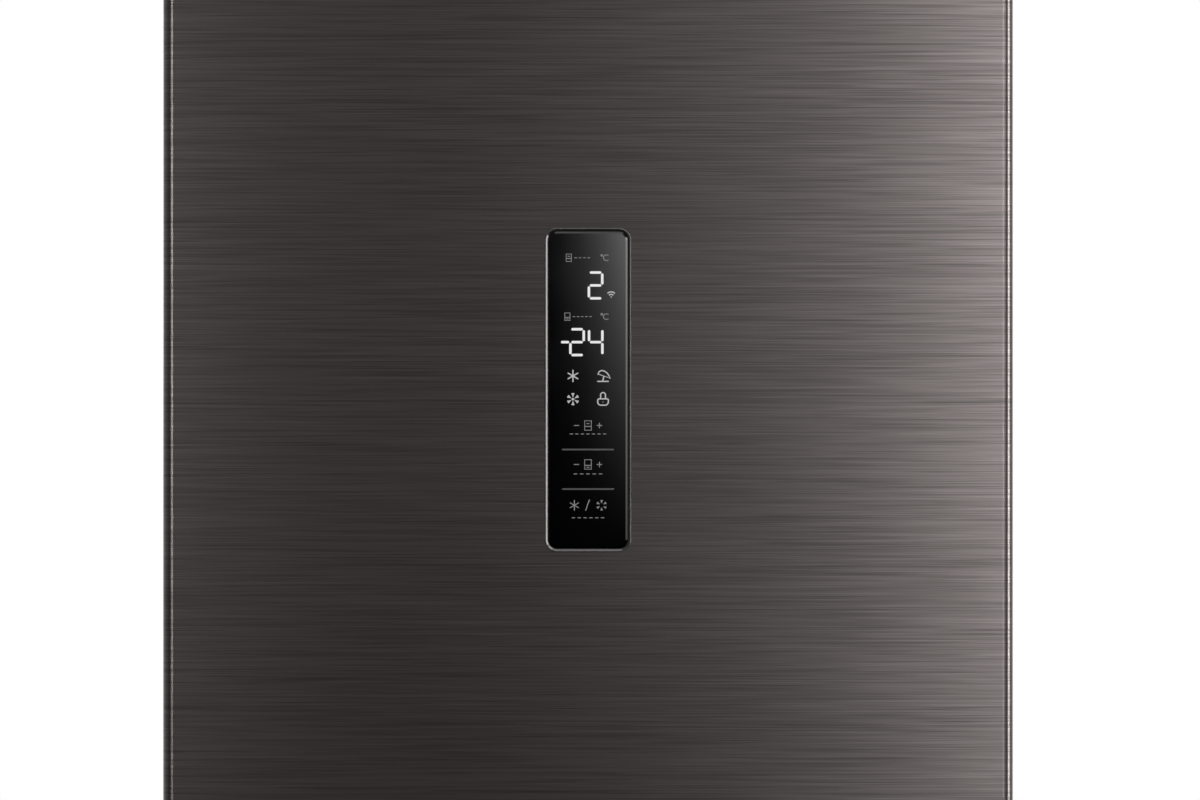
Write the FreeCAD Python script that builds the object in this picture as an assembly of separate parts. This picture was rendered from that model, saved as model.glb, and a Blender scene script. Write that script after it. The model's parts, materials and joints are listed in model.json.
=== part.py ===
import FreeCAD
import Part
import math
import os
from FreeCAD import Vector

# A two-door fridge freezer: fridge above, freezer below, both doors hung on the right.
# Millimetres. The floor is z = 0, the doors face -y, and +x is on the right of a person in front of them.

# Overall size
cabinet_width = 595.0
cabinet_height = 1850.0
overall_depth = 660.0
parting_height = 695.0

# Sheet steel of the cabinet
sheet = 1.0
sheet_bend = 3.0
front_flange = 38.0
rear_flange = 14.0
side_panel_floor_gap = 30.0
side_panel_notch = 24.0
back_panel_margin = 3.0
back_rib_count = 4
back_rib_width = 34.0
back_rib_height = 4.0
back_rib_end_gap = 120.0

# Walls, each from the outside of the cabinet to the inside of its liner
fridge_wall = 50.0
freezer_wall = 62.0
ceiling_wall = 50.0
floor_wall = 52.0
back_wall = 60.0
seal_land = 38.0
liner_wall = 2.0
liner_corner = 18.0
liner_rear_corner = 14.0
mullion_return = 15.0

# Base, feet and compressor bay
base_height = 58.0
base_sheet = 1.5
bay_height = 280.0
bay_depth = 225.0
bay_slant = 50.0
bay_wall = 45.0
tray_height = 44.0
tray_sheet = 2.5
tray_front_overlap = 20.0
tray_side_height = 30.0
tray_rear_height = 20.0
foot_inset = 85.0
foot_setback = 45.0
foot_pad_radius = 20.0
foot_pad_height = 9.0
foot_nut_radius = 11.0
foot_nut_height = 7.0
foot_stem_radius = 5.0
foot_stem_clearance = 0.1
foot_boss_radius = 11.0
foot_boss_height = 22.0
foot_boss_wall = 4.0
roller_inset = 60.0
roller_radius = 20.0
roller_width = 18.0
roller_edge = 2.0
roller_end_gap = 1.0
roller_setback = 40.0
axle_radius = 4.0
axle_clearance = 0.05
ear_thickness = 3.0
ear_width = 26.0
ear_margin = 8.0
kick_plate_setback = 14.0
kick_plate_floor_gap = 12.0
kick_plate_door_gap = 4.0
kick_plate_depth = 34.0
kick_plate_wall = 2.5
kick_plate_side_gap = 2.0
kick_clip_width = 30.0
kick_slot_count = 14
kick_slot_height = 5.0
kick_slot_share = 0.62

# Doors
door_thickness = 66.0
door_floor_gap = 50.0
door_gap = 10.0
door_top_drop = 4.0
door_edge_radius = 8.0
door_rear_radius = 1.5
door_cap_height = 14.0
skin_hem = 9.0
groove_start = 22.0
groove_width = 28.0
groove_depth = 24.0
groove_slope = 3.0
groove_radius = 6.0
groove_edge_radius = 1.5
grip_wall = 2.5
grip_hem = 12.0
liner_edge_gap = 0.6
seal_inset = 18.0
seal_width = 16.0
seal_depth = 12.0
seal_waist = 3.0
seal_foot = 2.5
seal_clearance = 0.3

# Door liners: a raised rim stands inside each opening
rim_side_gap = 12.0
rim_width = 26.0
rim_draft = 4.0
fridge_rim_height = 34.0
freezer_rim_height = 22.0

# Hinges
hinge_inset = 14.0
hinge_setback = 30.0
hinge_plate = 3.0
hinge_plate_bend = 2.0
hinge_plate_width = 62.0
hinge_plate_side_gap = 2.0
hinge_plate_corner = 10.0
hinge_lobe = 12.0
hinge_flange_height = 36.0
top_hinge_reach = 66.0
bottom_hinge_riser = 8.0
bottom_hinge_reach = 52.0
pin_radius = 4.0
pin_clearance = 0.05
pin_length = 18.0
bush_radius = 9.0
bush_floor = 4.0
bush_gap = 0.3
hinge_cover_height = 18.0
hinge_cover_wall = 2.0
hinge_cover_margin = 6.0
hinge_cover_corner = 12.0
hinge_cover_edge = 4.0
screw_radius = 2.0
screw_length = 14.0
screw_head_radius = 4.5
screw_head_height = 3.0
screw_clearance = 0.1
screw_edge = 15.0

# Touch display on the fridge door
display_width = 60.0
display_height = 226.0
display_centre_height = 1400.0
display_corner = 8.5
frame_proud = 0.6
frame_edge = 0.2
frame_rim = 0.7
frame_width = 2.3
frame_slope_depth = 1.5
frame_depth = 6.0
frame_clearance = 0.2
glass_setback = 1.2
glass_thickness = 3.0
glass_edge_width = 1.3
glass_edge_drop = 0.35
glass_clearance = 0.1
housing_depth = 22.0
housing_wall = 2.0
board_thickness = 1.6
board_post_radius = 3.0
board_post_height = 5.0
board_clearance = 0.3
reflector_inset = 7.0

# Shelves, drawers and bins
ledge_width = 12.0
ledge_nose = 4.0
ledge_height = 9.0
ledge_end_gap = 3.0
shelf_glass = 4.0
shelf_side_gap = 1.5
shelf_trim_depth = 16.0
shelf_trim_lip = 4.0
shelf_trim_corner = 2.5
shelf_rear_trim_depth = 12.0
shelf_rear_trim_height = 18.0
shelf_count = 3
drawer_wall = 2.5
drawer_corner = 14.0
drawer_draft = 6.0
drawer_rim = 3.0
drawer_rim_gap = 5.5
drawer_front = 12.0
drawer_front_corner = 8.0
drawer_side_gap = 6.5
drawer_tray_gap = 2.5
drawer_floor_gap = 6.0
drawer_head_gap = 11.0
drawer_slide_gap = 0.3
drawer_handle_width = 170.0
drawer_handle_height = 26.0
drawer_handle_depth = 9.0
drawer_handle_slope = 2.0
drawer_handle_drop = 10.0
drawer_bin_gap = 22.0
drawer_rear_gap = 4.0
vegetable_height = 190.0
chill_height = 112.0
freezer_drawer_setback = 100.0
slider_slot_width = 60.0
slider_slot_height = 10.0
slider_slot_depth = 4.0
slider_width = 18.0
slider_proud = 2.5
slider_offset = 160.0
slider_gap = 0.3
slider_ridge_count = 3
bin_depth = 110.0
bin_gap = 0.5
bin_wall = 2.5
bin_corner = 16.0
bin_draft = 5.0
bin_height = 88.0
bottle_bin_height = 118.0
bin_count = 3
bin_rim = 3.0
bin_floor_gap = 8.0
lug_depth = 7.0
lug_length = 18.0
lug_height = 14.0
lug_start = 12.0

# Air path: duct panel, damper, fan and evaporator
duct_depth = 40.0
duct_half_width = 130.0
duct_wall = 2.5
duct_corner = 16.0
duct_top_gap = 40.0
duct_slot_width = 70.0
duct_slot_height = 8.0
duct_slot_pitch = 70.0
duct_slot_offset = 62.0
damper_half_width = 40.0
damper_depth = 32.0
damper_frame_height = 12.0
damper_frame_wall = 5.0
damper_fit = 0.2
damper_pin_radius = 2.0
damper_pin_clearance = 0.06
damper_lug = 6.0
flap_thickness = 2.5
flap_gap = 0.4
flap_tip_gap = 1.4
cover_gap = 0.5
cover_thickness = 2.5
cover_depth = 80.0
cover_slot_count = 8
cover_slot_height = 6.0
fan_radius = 50.0
fan_hub_radius = 18.0
fan_blade_count = 5
fan_blade_width = 34.0
fan_blade_thickness = 2.5
fan_blade_pitch = 32.0
fan_depth = 20.0
fan_cover_gap = 6.0
fan_rise = 68.0
fan_slot_count = 7
motor_radius = 26.0
motor_depth = 22.0
motor_shaft_radius = 3.0
motor_gap = 1.0
motor_arm_width = 12.0
motor_arm_thickness = 4.0
evaporator_half_width = 185.0
evaporator_depth = 56.0
evaporator_height = 120.0
evaporator_rise = 24.0
evaporator_gap = 0.5
evaporator_fin_count = 16
evaporator_fin_gap = 14.0
evaporator_core = 12.0
evaporator_tube_radius = 4.5
heater_radius = 4.0
heater_gap = 0.3
lamp_half_width = 90.0
lamp_depth = 50.0
lamp_height = 8.0
lamp_corner = 10.0
lamp_setback = 110.0

# Compressor and its circuit
compressor_offset = 70.0
compressor_setback = 118.0
shell_radius = 76.0
shell_height = 168.0
shell_foot_radius = 20.0
shell_dome = 34.0
shell_seam_height = 78.0
shell_seam = 3.0
compressor_foot_length = 164.0
compressor_foot_width = 150.0
compressor_foot_sheet = 3.0
compressor_foot_rise = 8.0
grommet_inset = 14.0
grommet_radius = 11.0
grommet_waist = 7.5
grommet_gap = 0.3
grommet_cap = 5.0
terminal_width = 38.0
terminal_length = 54.0
terminal_height = 62.0
terminal_rise = 50.0
terminal_corner = 6.0
gland_radius = 9.0
gland_length = 14.0
gland_bore = 4.5
gland_bore_depth = 30.0
dish_half_width = 88.0
dish_depth = 140.0
dish_height = 30.0
dish_gap = 0.3
pipe_bend = 14.0
discharge_radius = 3.0
suction_radius = 4.0
stub_radius = 3.0
stub_reach = 16.0
stub_rise = 30.0
pipe_spacing = 30.0
pipe_clearance = 40.0
pipe_height = 112.0
drier_radius = 9.0
drier_length = 80.0
drier_taper = 14.0
drier_offset = 112.0
drier_height = 120.0
drier_pipe_radius = 2.5

# Spacers that keep the back off the wall
spacer_depth = 25.0
spacer_half_width = 32.0
spacer_half_height = 22.0
spacer_draft = 6.0
spacer_corner = 8.0
spacer_drop = 130.0

# Planes that follow from the sizes above
side_x = cabinet_width / 2
rear_y = overall_depth / 2
skin_y = frame_proud - rear_y
seat_y = skin_y + door_thickness
cabinet_y = seat_y + seal_depth + seal_clearance
back_y = rear_y - spacer_depth
bay_y = back_y - bay_depth
inner_back_y = back_y - back_wall
panel_x = side_x - sheet
flange_x = side_x - front_flange
fridge_x = side_x - fridge_wall
freezer_x = side_x - freezer_wall
freezer_door_bottom = door_floor_gap
freezer_door_top = parting_height - door_gap / 2
fridge_door_bottom = parting_height + door_gap / 2
fridge_door_top = cabinet_height - door_top_drop
fridge_floor = fridge_door_bottom + seal_land
fridge_ceiling = cabinet_height - ceiling_wall
freezer_floor = base_height + floor_wall
freezer_ceiling = freezer_door_top - seal_land
step_y = bay_y - bay_wall
step_z = bay_height + bay_wall
hinge_x = side_x - hinge_inset
hinge_y = skin_y + hinge_setback
bush_flange = door_gap / 2 - hinge_plate / 2 - bush_gap
bottom_plate_z = door_floor_gap - bush_flange - bush_gap - hinge_plate
hinge_plate_x = side_x - hinge_plate_side_gap - hinge_plate_width
fridge_rim_x = fridge_x - rim_side_gap
freezer_rim_x = freezer_x - rim_side_gap
fridge_rim_z = (fridge_floor + rim_side_gap, fridge_ceiling - rim_side_gap)
freezer_rim_z = (freezer_floor + rim_side_gap, freezer_ceiling - rim_side_gap)
bin_x = fridge_rim_x - rim_width
bottle_bin_z = fridge_rim_z[0] + rim_width + bin_floor_gap
bin_pitch = (fridge_rim_z[1] - rim_width - bottle_bin_z) / (bin_count + 1)
bin_levels = [bottle_bin_z + bin_pitch * (i + 1) for i in range(bin_count)]
shelf_y = seat_y + bin_depth + drawer_bin_gap
duct_y = inner_back_y - duct_depth
shelf_rear_y = duct_y - drawer_rear_gap
cover_y = inner_back_y - cover_depth
vegetable_z = (fridge_floor + drawer_floor_gap, fridge_floor + drawer_floor_gap + vegetable_height)
cover_shelf_z = vegetable_z[1] + drawer_head_gap
chill_z0 = cover_shelf_z + shelf_glass + drawer_head_gap
chill_z = (chill_z0, chill_z0 + chill_height)
first_shelf_z = chill_z[1] + drawer_head_gap
shelf_pitch = (fridge_ceiling - first_shelf_z) / shelf_count
shelf_levels = [first_shelf_z + shelf_pitch * i for i in range(shelf_count)]
freezer_drawer_y = hinge_y + freezer_drawer_setback
drawer_split_z = (step_z + freezer_ceiling) / 2
freezer_drawer_rooms = [(drawer_split_z, freezer_ceiling), (step_z, drawer_split_z), (freezer_floor, step_z)]
freezer_drawer_rears = [cover_y - drawer_rear_gap, cover_y - drawer_rear_gap, step_y - drawer_rear_gap]
damper_y = (inner_back_y - drawer_rear_gap - damper_depth, inner_back_y - drawer_rear_gap)
damper_z = (freezer_ceiling + fridge_floor) / 2
evaporator_z = step_z + evaporator_rise
evaporator_y = cover_y + cover_thickness + evaporator_gap
fan_z = evaporator_z + evaporator_height + fan_rise
fan_y = cover_y + cover_thickness + fan_cover_gap
motor_y = fan_y + fan_depth + motor_gap
compressor_x = -compressor_offset
compressor_y = bay_y + compressor_setback
tray_top = tray_height + tray_sheet
shell_z = tray_top + compressor_foot_rise
display_y = skin_y


def outline(points, radii):
    """Closed wire through the points, each corner rounded by its own radius."""
    count = len(points)
    ends = []
    for i in range(count):
        corner = points[i]
        arrive = (corner - points[i - 1]).normalize()
        leave = (points[(i + 1) % count] - corner).normalize()
        if radii[i] <= 0:
            ends.append((corner, None, corner))
            continue
        half_turn = arrive.getAngle(leave) / 2
        reach = radii[i] * math.tan(half_turn)
        inward = (leave - arrive).normalize()
        middle = corner + inward * (radii[i] / math.cos(half_turn) - radii[i])
        ends.append((corner - arrive * reach, middle, corner + leave * reach))
    edges = []
    for i in range(count):
        start, middle, end = ends[i]
        if middle is not None:
            edges.append(Part.Arc(start, middle, end).toShape())
        following = ends[(i + 1) % count][0]
        if end.distanceToPoint(following) > 1e-6:
            edges.append(Part.makeLine(end, following))
    return Part.Wire(edges)


def rect(a0, a1, b0, b1):
    """Corners of a rectangle, from its lowest corner."""
    return [(a0, b0), (a1, b0), (a1, b1), (a0, b1)]


def each(radius, points):
    """One radius for each point."""
    if isinstance(radius, (list, tuple)):
        return radius
    return [radius] * len(points)


def along_x(points, radius, x0, x1):
    """Prism along x with a section drawn in y and z."""
    section = outline([Vector(x0, a, b) for a, b in points], each(radius, points))
    return Part.Face(section).extrude(Vector(x1 - x0, 0, 0))


def along_y(points, radius, y0, y1):
    """Prism along y with a section drawn in x and z."""
    section = outline([Vector(a, y0, b) for a, b in points], each(radius, points))
    return Part.Face(section).extrude(Vector(0, y1 - y0, 0))


def along_z(points, radius, z0, z1):
    """Prism along z with a section drawn in x and y."""
    section = outline([Vector(a, b, z0) for a, b in points], each(radius, points))
    return Part.Face(section).extrude(Vector(0, 0, z1 - z0))


def box(x0, x1, y0, y1, z0, z1):
    """Plain block between two corners."""
    return Part.makeBox(x1 - x0, y1 - y0, z1 - z0, Vector(x0, y0, z0))


def rod(start, end, radius):
    """Cylinder from one point to another."""
    return Part.makeCylinder(radius, start.distanceToPoint(end), start, end - start)


def fuse(shapes):
    """Union of shapes without the seams between coplanar faces."""
    return shapes[0].multiFuse(shapes[1:]).removeSplitter()


def mirrored(shape):
    """The same shape on the other side of the middle plane."""
    return shape.mirror(Vector(0, 0, 0), Vector(1, 0, 0))


def pair(shape):
    """A shape and its mirror image, as two solids."""
    return Part.makeCompound([shape, mirrored(shape)])


def turned(profile, x, y):
    """Solid turned about a vertical axis from (radius, z) points."""
    wire = Part.makePolygon([Vector(x + r, y, z) for r, z in profile + profile[:1]])
    return Part.Face(wire).revolve(Vector(x, y, 0), Vector(0, 0, 1), 360)


def bent_strip(path, thickness, bends):
    """Section of a bent sheet: the path, thickened to its left, with an inner radius at each bend."""
    steps = [Vector(b[0] - a[0], b[1] - a[1], 0).normalize() for a, b in zip(path, path[1:])]
    sides = [Vector(-s.y, s.x, 0) for s in steps]
    far = [Vector(*path[0], 0) + sides[0] * thickness]
    near_radii = []
    far_radii = []
    for i, bend in enumerate(bends):
        spread = 1 + sides[i].dot(sides[i + 1])
        far.append(Vector(*path[i + 1], 0) + (sides[i] + sides[i + 1]) * (thickness / spread))
        outer = bend + thickness if bend > 0 else 0
        left_turn = steps[i].cross(steps[i + 1]).z > 0
        near_radii.append(outer if left_turn else bend)
        far_radii.append(bend if left_turn else outer)
    far.append(Vector(*path[-1], 0) + sides[-1] * thickness)
    points = list(path) + [(p.x, p.y) for p in reversed(far)]
    return points, [0] + near_radii + [0, 0] + far_radii[::-1] + [0]


def mitred_ring(profile, x0, x1, z0, z1):
    """Rectangular frame with mitred corners; the profile is (inset from the rectangle, y) points."""
    def corners(inset, y):
        spots = rect(x0 + inset, x1 - inset, z0 + inset, z1 - inset)
        return [Vector(a, y, b) for a, b in spots]

    faces = []
    for here, there in zip(profile, profile[1:] + profile[:1]):
        near = corners(*here)
        far = corners(*there)
        for i in range(4):
            quad = [near[i - 1], near[i], far[i], far[i - 1], near[i - 1]]
            faces.append(Part.Face(Part.makePolygon(quad)))
    shell = Part.makeShell(faces)
    shell.sewShape()
    return Part.makeSolid(shell)


def front_loft(sections):
    """Ruled solid through rounded rectangles that face the front: (half width, half height, radius, y)."""
    wires = []
    for half_width, half_height, radius, y in sections:
        points = [Vector(a, y, b) for a, b in rect(-half_width, half_width, -half_height, half_height)]
        wires.append(outline(points, [radius] * 4))
    return Part.makeLoft(wires, True, True)


def level_loft(sections):
    """Ruled solid through level rounded rectangles: (x0, x1, y0, y1, radius, z)."""
    wires = []
    for x0, x1, y0, y1, radius, z in sections:
        points = [Vector(a, b, z) for a, b in rect(x0, x1, y0, y1)]
        wires.append(outline(points, [radius] * 4))
    return Part.makeLoft(wires, True, True)


def tube(points, radius, bend):
    """Round bar along straight runs joined by tangent arcs."""
    edges = []
    start = points[0]
    for before, corner, after in zip(points, points[1:], points[2:]):
        arrive = (corner - before).normalize()
        leave = (after - corner).normalize()
        half_turn = arrive.getAngle(leave) / 2
        reach = bend * math.tan(half_turn)
        inward = (leave - arrive).normalize()
        middle = corner + inward * (bend / math.cos(half_turn) - bend)
        edges.append(Part.makeLine(start, corner - arrive * reach))
        edges.append(Part.Arc(corner - arrive * reach, middle, corner + leave * reach).toShape())
        start = corner + leave * reach
    edges.append(Part.makeLine(start, points[-1]))
    ring = Part.Wire(Part.makeCircle(radius, points[0], points[1] - points[0]))
    return Part.Wire(edges).makePipeShell([ring], True, True)


def open_tray(x0, x1, y0, y1, z0, z1, wall, corner, draft):
    """Outer and inner form of a moulded tray whose walls lean out towards the rim."""
    lean = draft * (1 - wall / (z1 - z0))
    outer = level_loft([
        (x0 + draft, x1 - draft, y0 + draft, y1 - draft, corner, z0),
        (x0, x1, y0, y1, corner, z1),
    ])
    inner = level_loft([
        (x0 + lean + wall, x1 - lean - wall, y0 + lean + wall, y1 - lean - wall, corner - wall, z0 + wall),
        (x0 + wall, x1 - wall, y0 + wall, y1 - wall, corner - wall, z1),
    ])
    return outer, inner


def cavity(half_width, z0, z1, y1, grow):
    """Room behind the front plane with rounded edges, grown outwards by a wall."""
    section = rect(-half_width - grow, half_width + grow, z0 - grow, z1 + grow)
    block = along_y(section, liner_corner + grow, cabinet_y, y1 + grow)
    rear = [e for e in block.Edges if all(abs(v.Y - y1 - grow) < 1e-6 for v in e.Vertexes)]
    return block.makeFillet(liner_rear_corner + grow, rear)


def fridge_room(grow):
    return cavity(fridge_x, fridge_floor, fridge_ceiling, inner_back_y, grow)


def freezer_room(grow):
    """The freezer's room steps forward over the compressor bay."""
    low = cavity(freezer_x, freezer_floor, freezer_ceiling, step_y, grow)
    high = cavity(freezer_x, step_z, freezer_ceiling, inner_back_y, grow)
    return fuse([low, high])


def front_lip(z0, z1):
    """Flat lip of a liner, from its opening out to the steel flanges."""
    return box(-flange_x, flange_x, cabinet_y, cabinet_y + liner_wall, z0, z1)


def fridge_lip():
    return front_lip(fridge_floor - fridge_wall + front_flange, cabinet_height - front_flange)


def freezer_lip():
    return front_lip(base_height + front_flange, freezer_ceiling + fridge_wall - front_flange)


def ledges(half_width, z, y0, y1):
    """A tapered ledge on each side wall; its top carries a shelf or a drawer's rim."""
    section = [
        (half_width + liner_wall / 2, z),
        (half_width - ledge_width, z),
        (half_width - ledge_width, z - ledge_nose),
        (half_width + liner_wall / 2, z - ledge_height),
    ]
    right = along_y(section, 0, y0, y1)
    return [right, mirrored(right)]


def damper_channel():
    return box(-damper_half_width, damper_half_width, *damper_y, freezer_ceiling - ledge_width,
               fridge_floor + ledge_width)


def drawer_ledge_top(z):
    return z[1] - drawer_rim - drawer_slide_gap


def fridge_liner():
    """White moulded liner with ledges for the shelves and the two drawers."""
    start = shelf_y + shelf_trim_depth + ledge_end_gap
    stop = shelf_rear_y - shelf_rear_trim_depth - ledge_end_gap
    levels = shelf_levels + [cover_shelf_z, drawer_ledge_top(vegetable_z), drawer_ledge_top(chill_z)]
    ribs = [rib for z in levels for rib in ledges(fridge_x, z, start, stop)]
    shell = fuse([fridge_room(liner_wall), fridge_lip()]).cut(fridge_room(0))
    return fuse([shell] + ribs).cut(damper_channel())


def freezer_liner():
    """White moulded liner with ledges for three drawers."""
    start = freezer_drawer_y + drawer_front + ledge_end_gap
    ribs = []
    for room, rear in zip(freezer_drawer_rooms, freezer_drawer_rears):
        top = room[1] - drawer_head_gap - drawer_rim - drawer_slide_gap
        ribs += ledges(freezer_x, top, start, rear - drawer_corner)
    shell = fuse([freezer_room(liner_wall), freezer_lip()]).cut(freezer_room(0))
    return fuse([shell] + ribs).cut(damper_channel())


def side_panel():
    """Right side sheet, folded in at the front and at the back."""
    path = [
        (flange_x, cabinet_y),
        (side_x, cabinet_y),
        (side_x, back_y - sheet),
        (side_x - rear_flange, back_y - sheet),
    ]
    section, radii = bent_strip(path, sheet, [sheet_bend, sheet_bend])
    return along_z(section, radii, side_panel_floor_gap, cabinet_height - sheet)


def side_panels():
    """Both side sheets, notched at the bottom front for the plinth and the bottom hinge."""
    notch = box(-side_x, side_x, cabinet_y, cabinet_y + side_panel_notch, side_panel_floor_gap, base_height)
    return pair(side_panel()).cut([notch, screw_holes(middle_screws())])


def top_panel():
    """Top sheet, folded down at the front and at the back between the side panels."""
    rear_corner = (back_y - sheet, cabinet_height)
    front_corner = (cabinet_y, cabinet_height)
    rear_path = [(back_y - sheet, cabinet_height - rear_flange), rear_corner, front_corner]
    front_path = [rear_corner, front_corner, (cabinet_y, cabinet_height - front_flange)]
    rear_x = side_x - rear_flange
    rear_fold = along_x(*bent_strip(rear_path, sheet, [sheet_bend]), -rear_x, rear_x)
    front_fold = along_x(*bent_strip(front_path, sheet, [sheet_bend]), -flange_x, flange_x)
    flat = box(-side_x, side_x, cabinet_y, back_y - sheet, cabinet_height - sheet, cabinet_height)
    return fuse([rear_fold, front_fold, flat]).cut(screw_holes(top_screws()))


def back_panel():
    """Back sheet with pressed upright ribs."""
    half_width = side_x - back_panel_margin
    top = cabinet_height - back_panel_margin
    plate = box(-half_width, half_width, back_y - sheet, back_y, bay_height, top)
    pitch = 2 * half_width / back_rib_count
    rib_half_height = (cabinet_height - bay_height) / 2 - back_rib_end_gap
    ribs = []
    for i in range(back_rib_count):
        rib = front_loft([
            (back_rib_width / 2, rib_half_height, back_rib_width / 3, back_y - sheet / 2),
            (back_rib_width / 2 - back_rib_height, rib_half_height - back_rib_height, back_rib_width / 4,
             back_y + back_rib_height),
        ])
        rib.translate(Vector(pitch * (i + 0.5) - half_width, 0, (cabinet_height + bay_height) / 2))
        ribs.append(rib)
    return fuse([plate] + ribs)


def bay_panel():
    """Sheet that closes the foam over the compressor bay."""
    path = [
        (bay_y, base_height),
        (bay_y, bay_height - bay_slant),
        (bay_y + bay_slant, bay_height),
        (back_y - 2 * sheet - sheet_bend, bay_height),
    ]
    section, radii = bent_strip(path, sheet, [sheet_bend, sheet_bend])
    return along_x(section, radii, -panel_x, panel_x)


def bay_space():
    """Everything on the compressor's side of the bay panel."""
    section = [
        (bay_y, base_height),
        (bay_y, bay_height - bay_slant),
        (bay_y + bay_slant, bay_height),
        (back_y, bay_height),
        (back_y, base_height),
    ]
    return along_x(section, 0, -side_x, side_x)


def base_plate():
    """Bottom sheet with its front rail and the two threaded bosses for the feet."""
    path = [
        (cabinet_y, base_height + front_flange),
        (cabinet_y, base_height),
        (bay_y - sheet, base_height),
    ]
    section, radii = bent_strip(path, base_sheet, [sheet_bend])
    folded = along_x(section, radii, -flange_x, flange_x)
    flat = box(-panel_x, panel_x, cabinet_y + sheet + sheet_bend, bay_y - sheet, base_height,
               base_height + base_sheet)
    pieces = [folded, flat]
    for x in (-foot_x(), foot_x()):
        top = Vector(x, foot_y(), base_height)
        pieces.append(rod(top - Vector(0, 0, foot_boss_height), top, foot_boss_radius))
    plate = fuse(pieces)
    for x in (-foot_x(), foot_x()):
        top = Vector(x, foot_y(), base_height - foot_boss_wall)
        bore = rod(top - Vector(0, 0, foot_boss_height), top, foot_stem_radius + foot_stem_clearance)
        plate = plate.cut(bore)
    return plate.cut(screw_holes(bottom_screws()))


def foot_x():
    return side_x - foot_inset


def foot_y():
    return cabinet_y + foot_setback


def front_foot(x):
    """Levelling foot: pad, hexagon nut and stem."""
    y = foot_y()
    pad = turned([
        (0, 0),
        (foot_pad_radius - 2, 0),
        (foot_pad_radius, 2),
        (foot_pad_radius, foot_pad_height - 4),
        (foot_nut_radius + 1, foot_pad_height),
        (0, foot_pad_height),
    ], x, y)
    nut_top = foot_pad_height + foot_nut_height
    hexagon = []
    for i in range(6):
        angle = math.radians(60 * i)
        hexagon.append((x + foot_nut_radius * math.cos(angle), y + foot_nut_radius * math.sin(angle)))
    nut = along_z(hexagon, 0, foot_pad_height, nut_top)
    stem_top = base_height - foot_boss_wall - 2
    stem = rod(Vector(x, y, nut_top), Vector(x, y, stem_top), foot_stem_radius)
    return fuse([pad, nut, stem])


def compressor_tray():
    """Steel tray across the bay, with the brackets and axles of the rear rollers under it."""
    front_y = bay_y - tray_front_overlap
    rear = back_y - rear_flange
    path = [
        (front_y, base_height),
        (front_y, tray_height),
        (rear, tray_height),
        (rear, tray_height + tray_rear_height),
    ]
    section, radii = bent_strip(path, tray_sheet, [sheet_bend, sheet_bend])
    pieces = [along_x(section, radii, -panel_x, panel_x)]
    for side in (-1, 1):
        outer = side * panel_x
        inner = side * (panel_x - tray_sheet)
        top = tray_height + tray_side_height
        wall = box(min(outer, inner), max(outer, inner), bay_y, rear, tray_height, top)
        pieces.append(wall)
        centre = Vector(side * (side_x - roller_inset), roller_y(), roller_radius)
        reach = roller_width / 2 + roller_end_gap
        for end in (-1, 1):
            ear_x = sorted([centre.x + end * reach, centre.x + end * (reach + ear_thickness)])
            pieces.append(box(*ear_x, centre.y - ear_width / 2, centre.y + ear_width / 2,
                              roller_radius - ear_margin, tray_height + tray_sheet / 2))
        tip = Vector(reach + ear_thickness, 0, 0)
        pieces.append(rod(centre - tip, centre + tip, axle_radius))
    tray = fuse(pieces)
    for spot in grommet_spots():
        tray = tray.cut(rod(spot - Vector(0, 0, tray_sheet), spot, grommet_waist / 2))
    return tray


def roller_y():
    return back_y - roller_setback


def rear_roller(side):
    """Grooveless nylon roller with rounded edges and a plain bore."""
    half = roller_width / 2
    bore = axle_radius + axle_clearance
    profile = [
        (bore, -half),
        (roller_radius - roller_edge, -half),
        (roller_radius, roller_edge - half),
        (roller_radius, half - roller_edge),
        (roller_radius - roller_edge, half),
        (bore, half),
    ]
    wheel = turned(profile, 0, 0)
    wheel.rotate(Vector(0, 0, 0), Vector(0, 1, 0), 90)
    wheel.translate(Vector(side * (side_x - roller_inset), roller_y(), roller_radius))
    return wheel


def kick_plate():
    """Plinth under the freezer door with air slots, clipped under the base plate."""
    front_y = cabinet_y - kick_plate_setback
    top = door_floor_gap - kick_plate_door_gap
    left = kick_plate_side_gap - side_x
    right = hinge_plate_x - kick_plate_side_gap
    path = [
        (front_y, kick_plate_floor_gap),
        (front_y, top),
        (front_y + kick_plate_depth, top),
    ]
    section, radii = bent_strip(path[::-1], kick_plate_wall, [sheet_bend])
    pieces = [along_x(section, radii, left, right)]
    for x in (left + kick_clip_width, right - 2 * kick_clip_width):
        pieces.append(box(x, x + kick_clip_width, front_y + kick_plate_depth - kick_plate_wall,
                          front_y + kick_plate_depth, top - kick_plate_wall, base_height))
    plate = fuse(pieces)
    pitch = (right - left) / (kick_slot_count + 1)
    middle = (kick_plate_floor_gap + top) / 2
    for i in range(kick_slot_count):
        x = left + pitch * (i + 1)
        slot = rect(x - pitch * kick_slot_share / 2, x + pitch * kick_slot_share / 2,
                    middle - kick_slot_height / 2, middle + kick_slot_height / 2)
        plate = plate.cut(along_y(slot, kick_slot_height * 0.49, front_y, front_y + 2 * kick_plate_wall))
    return plate


def mullion_rail():
    """Steel rail across the front between the two rooms."""
    low = freezer_ceiling + fridge_wall - front_flange
    high = fridge_floor - fridge_wall + front_flange
    path = [
        (cabinet_y + mullion_return, high),
        (cabinet_y, high),
        (cabinet_y, low),
        (cabinet_y + mullion_return, low),
    ]
    section, radii = bent_strip(path, sheet, [0, 0])
    return along_x(section, radii, -flange_x, flange_x)


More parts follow.
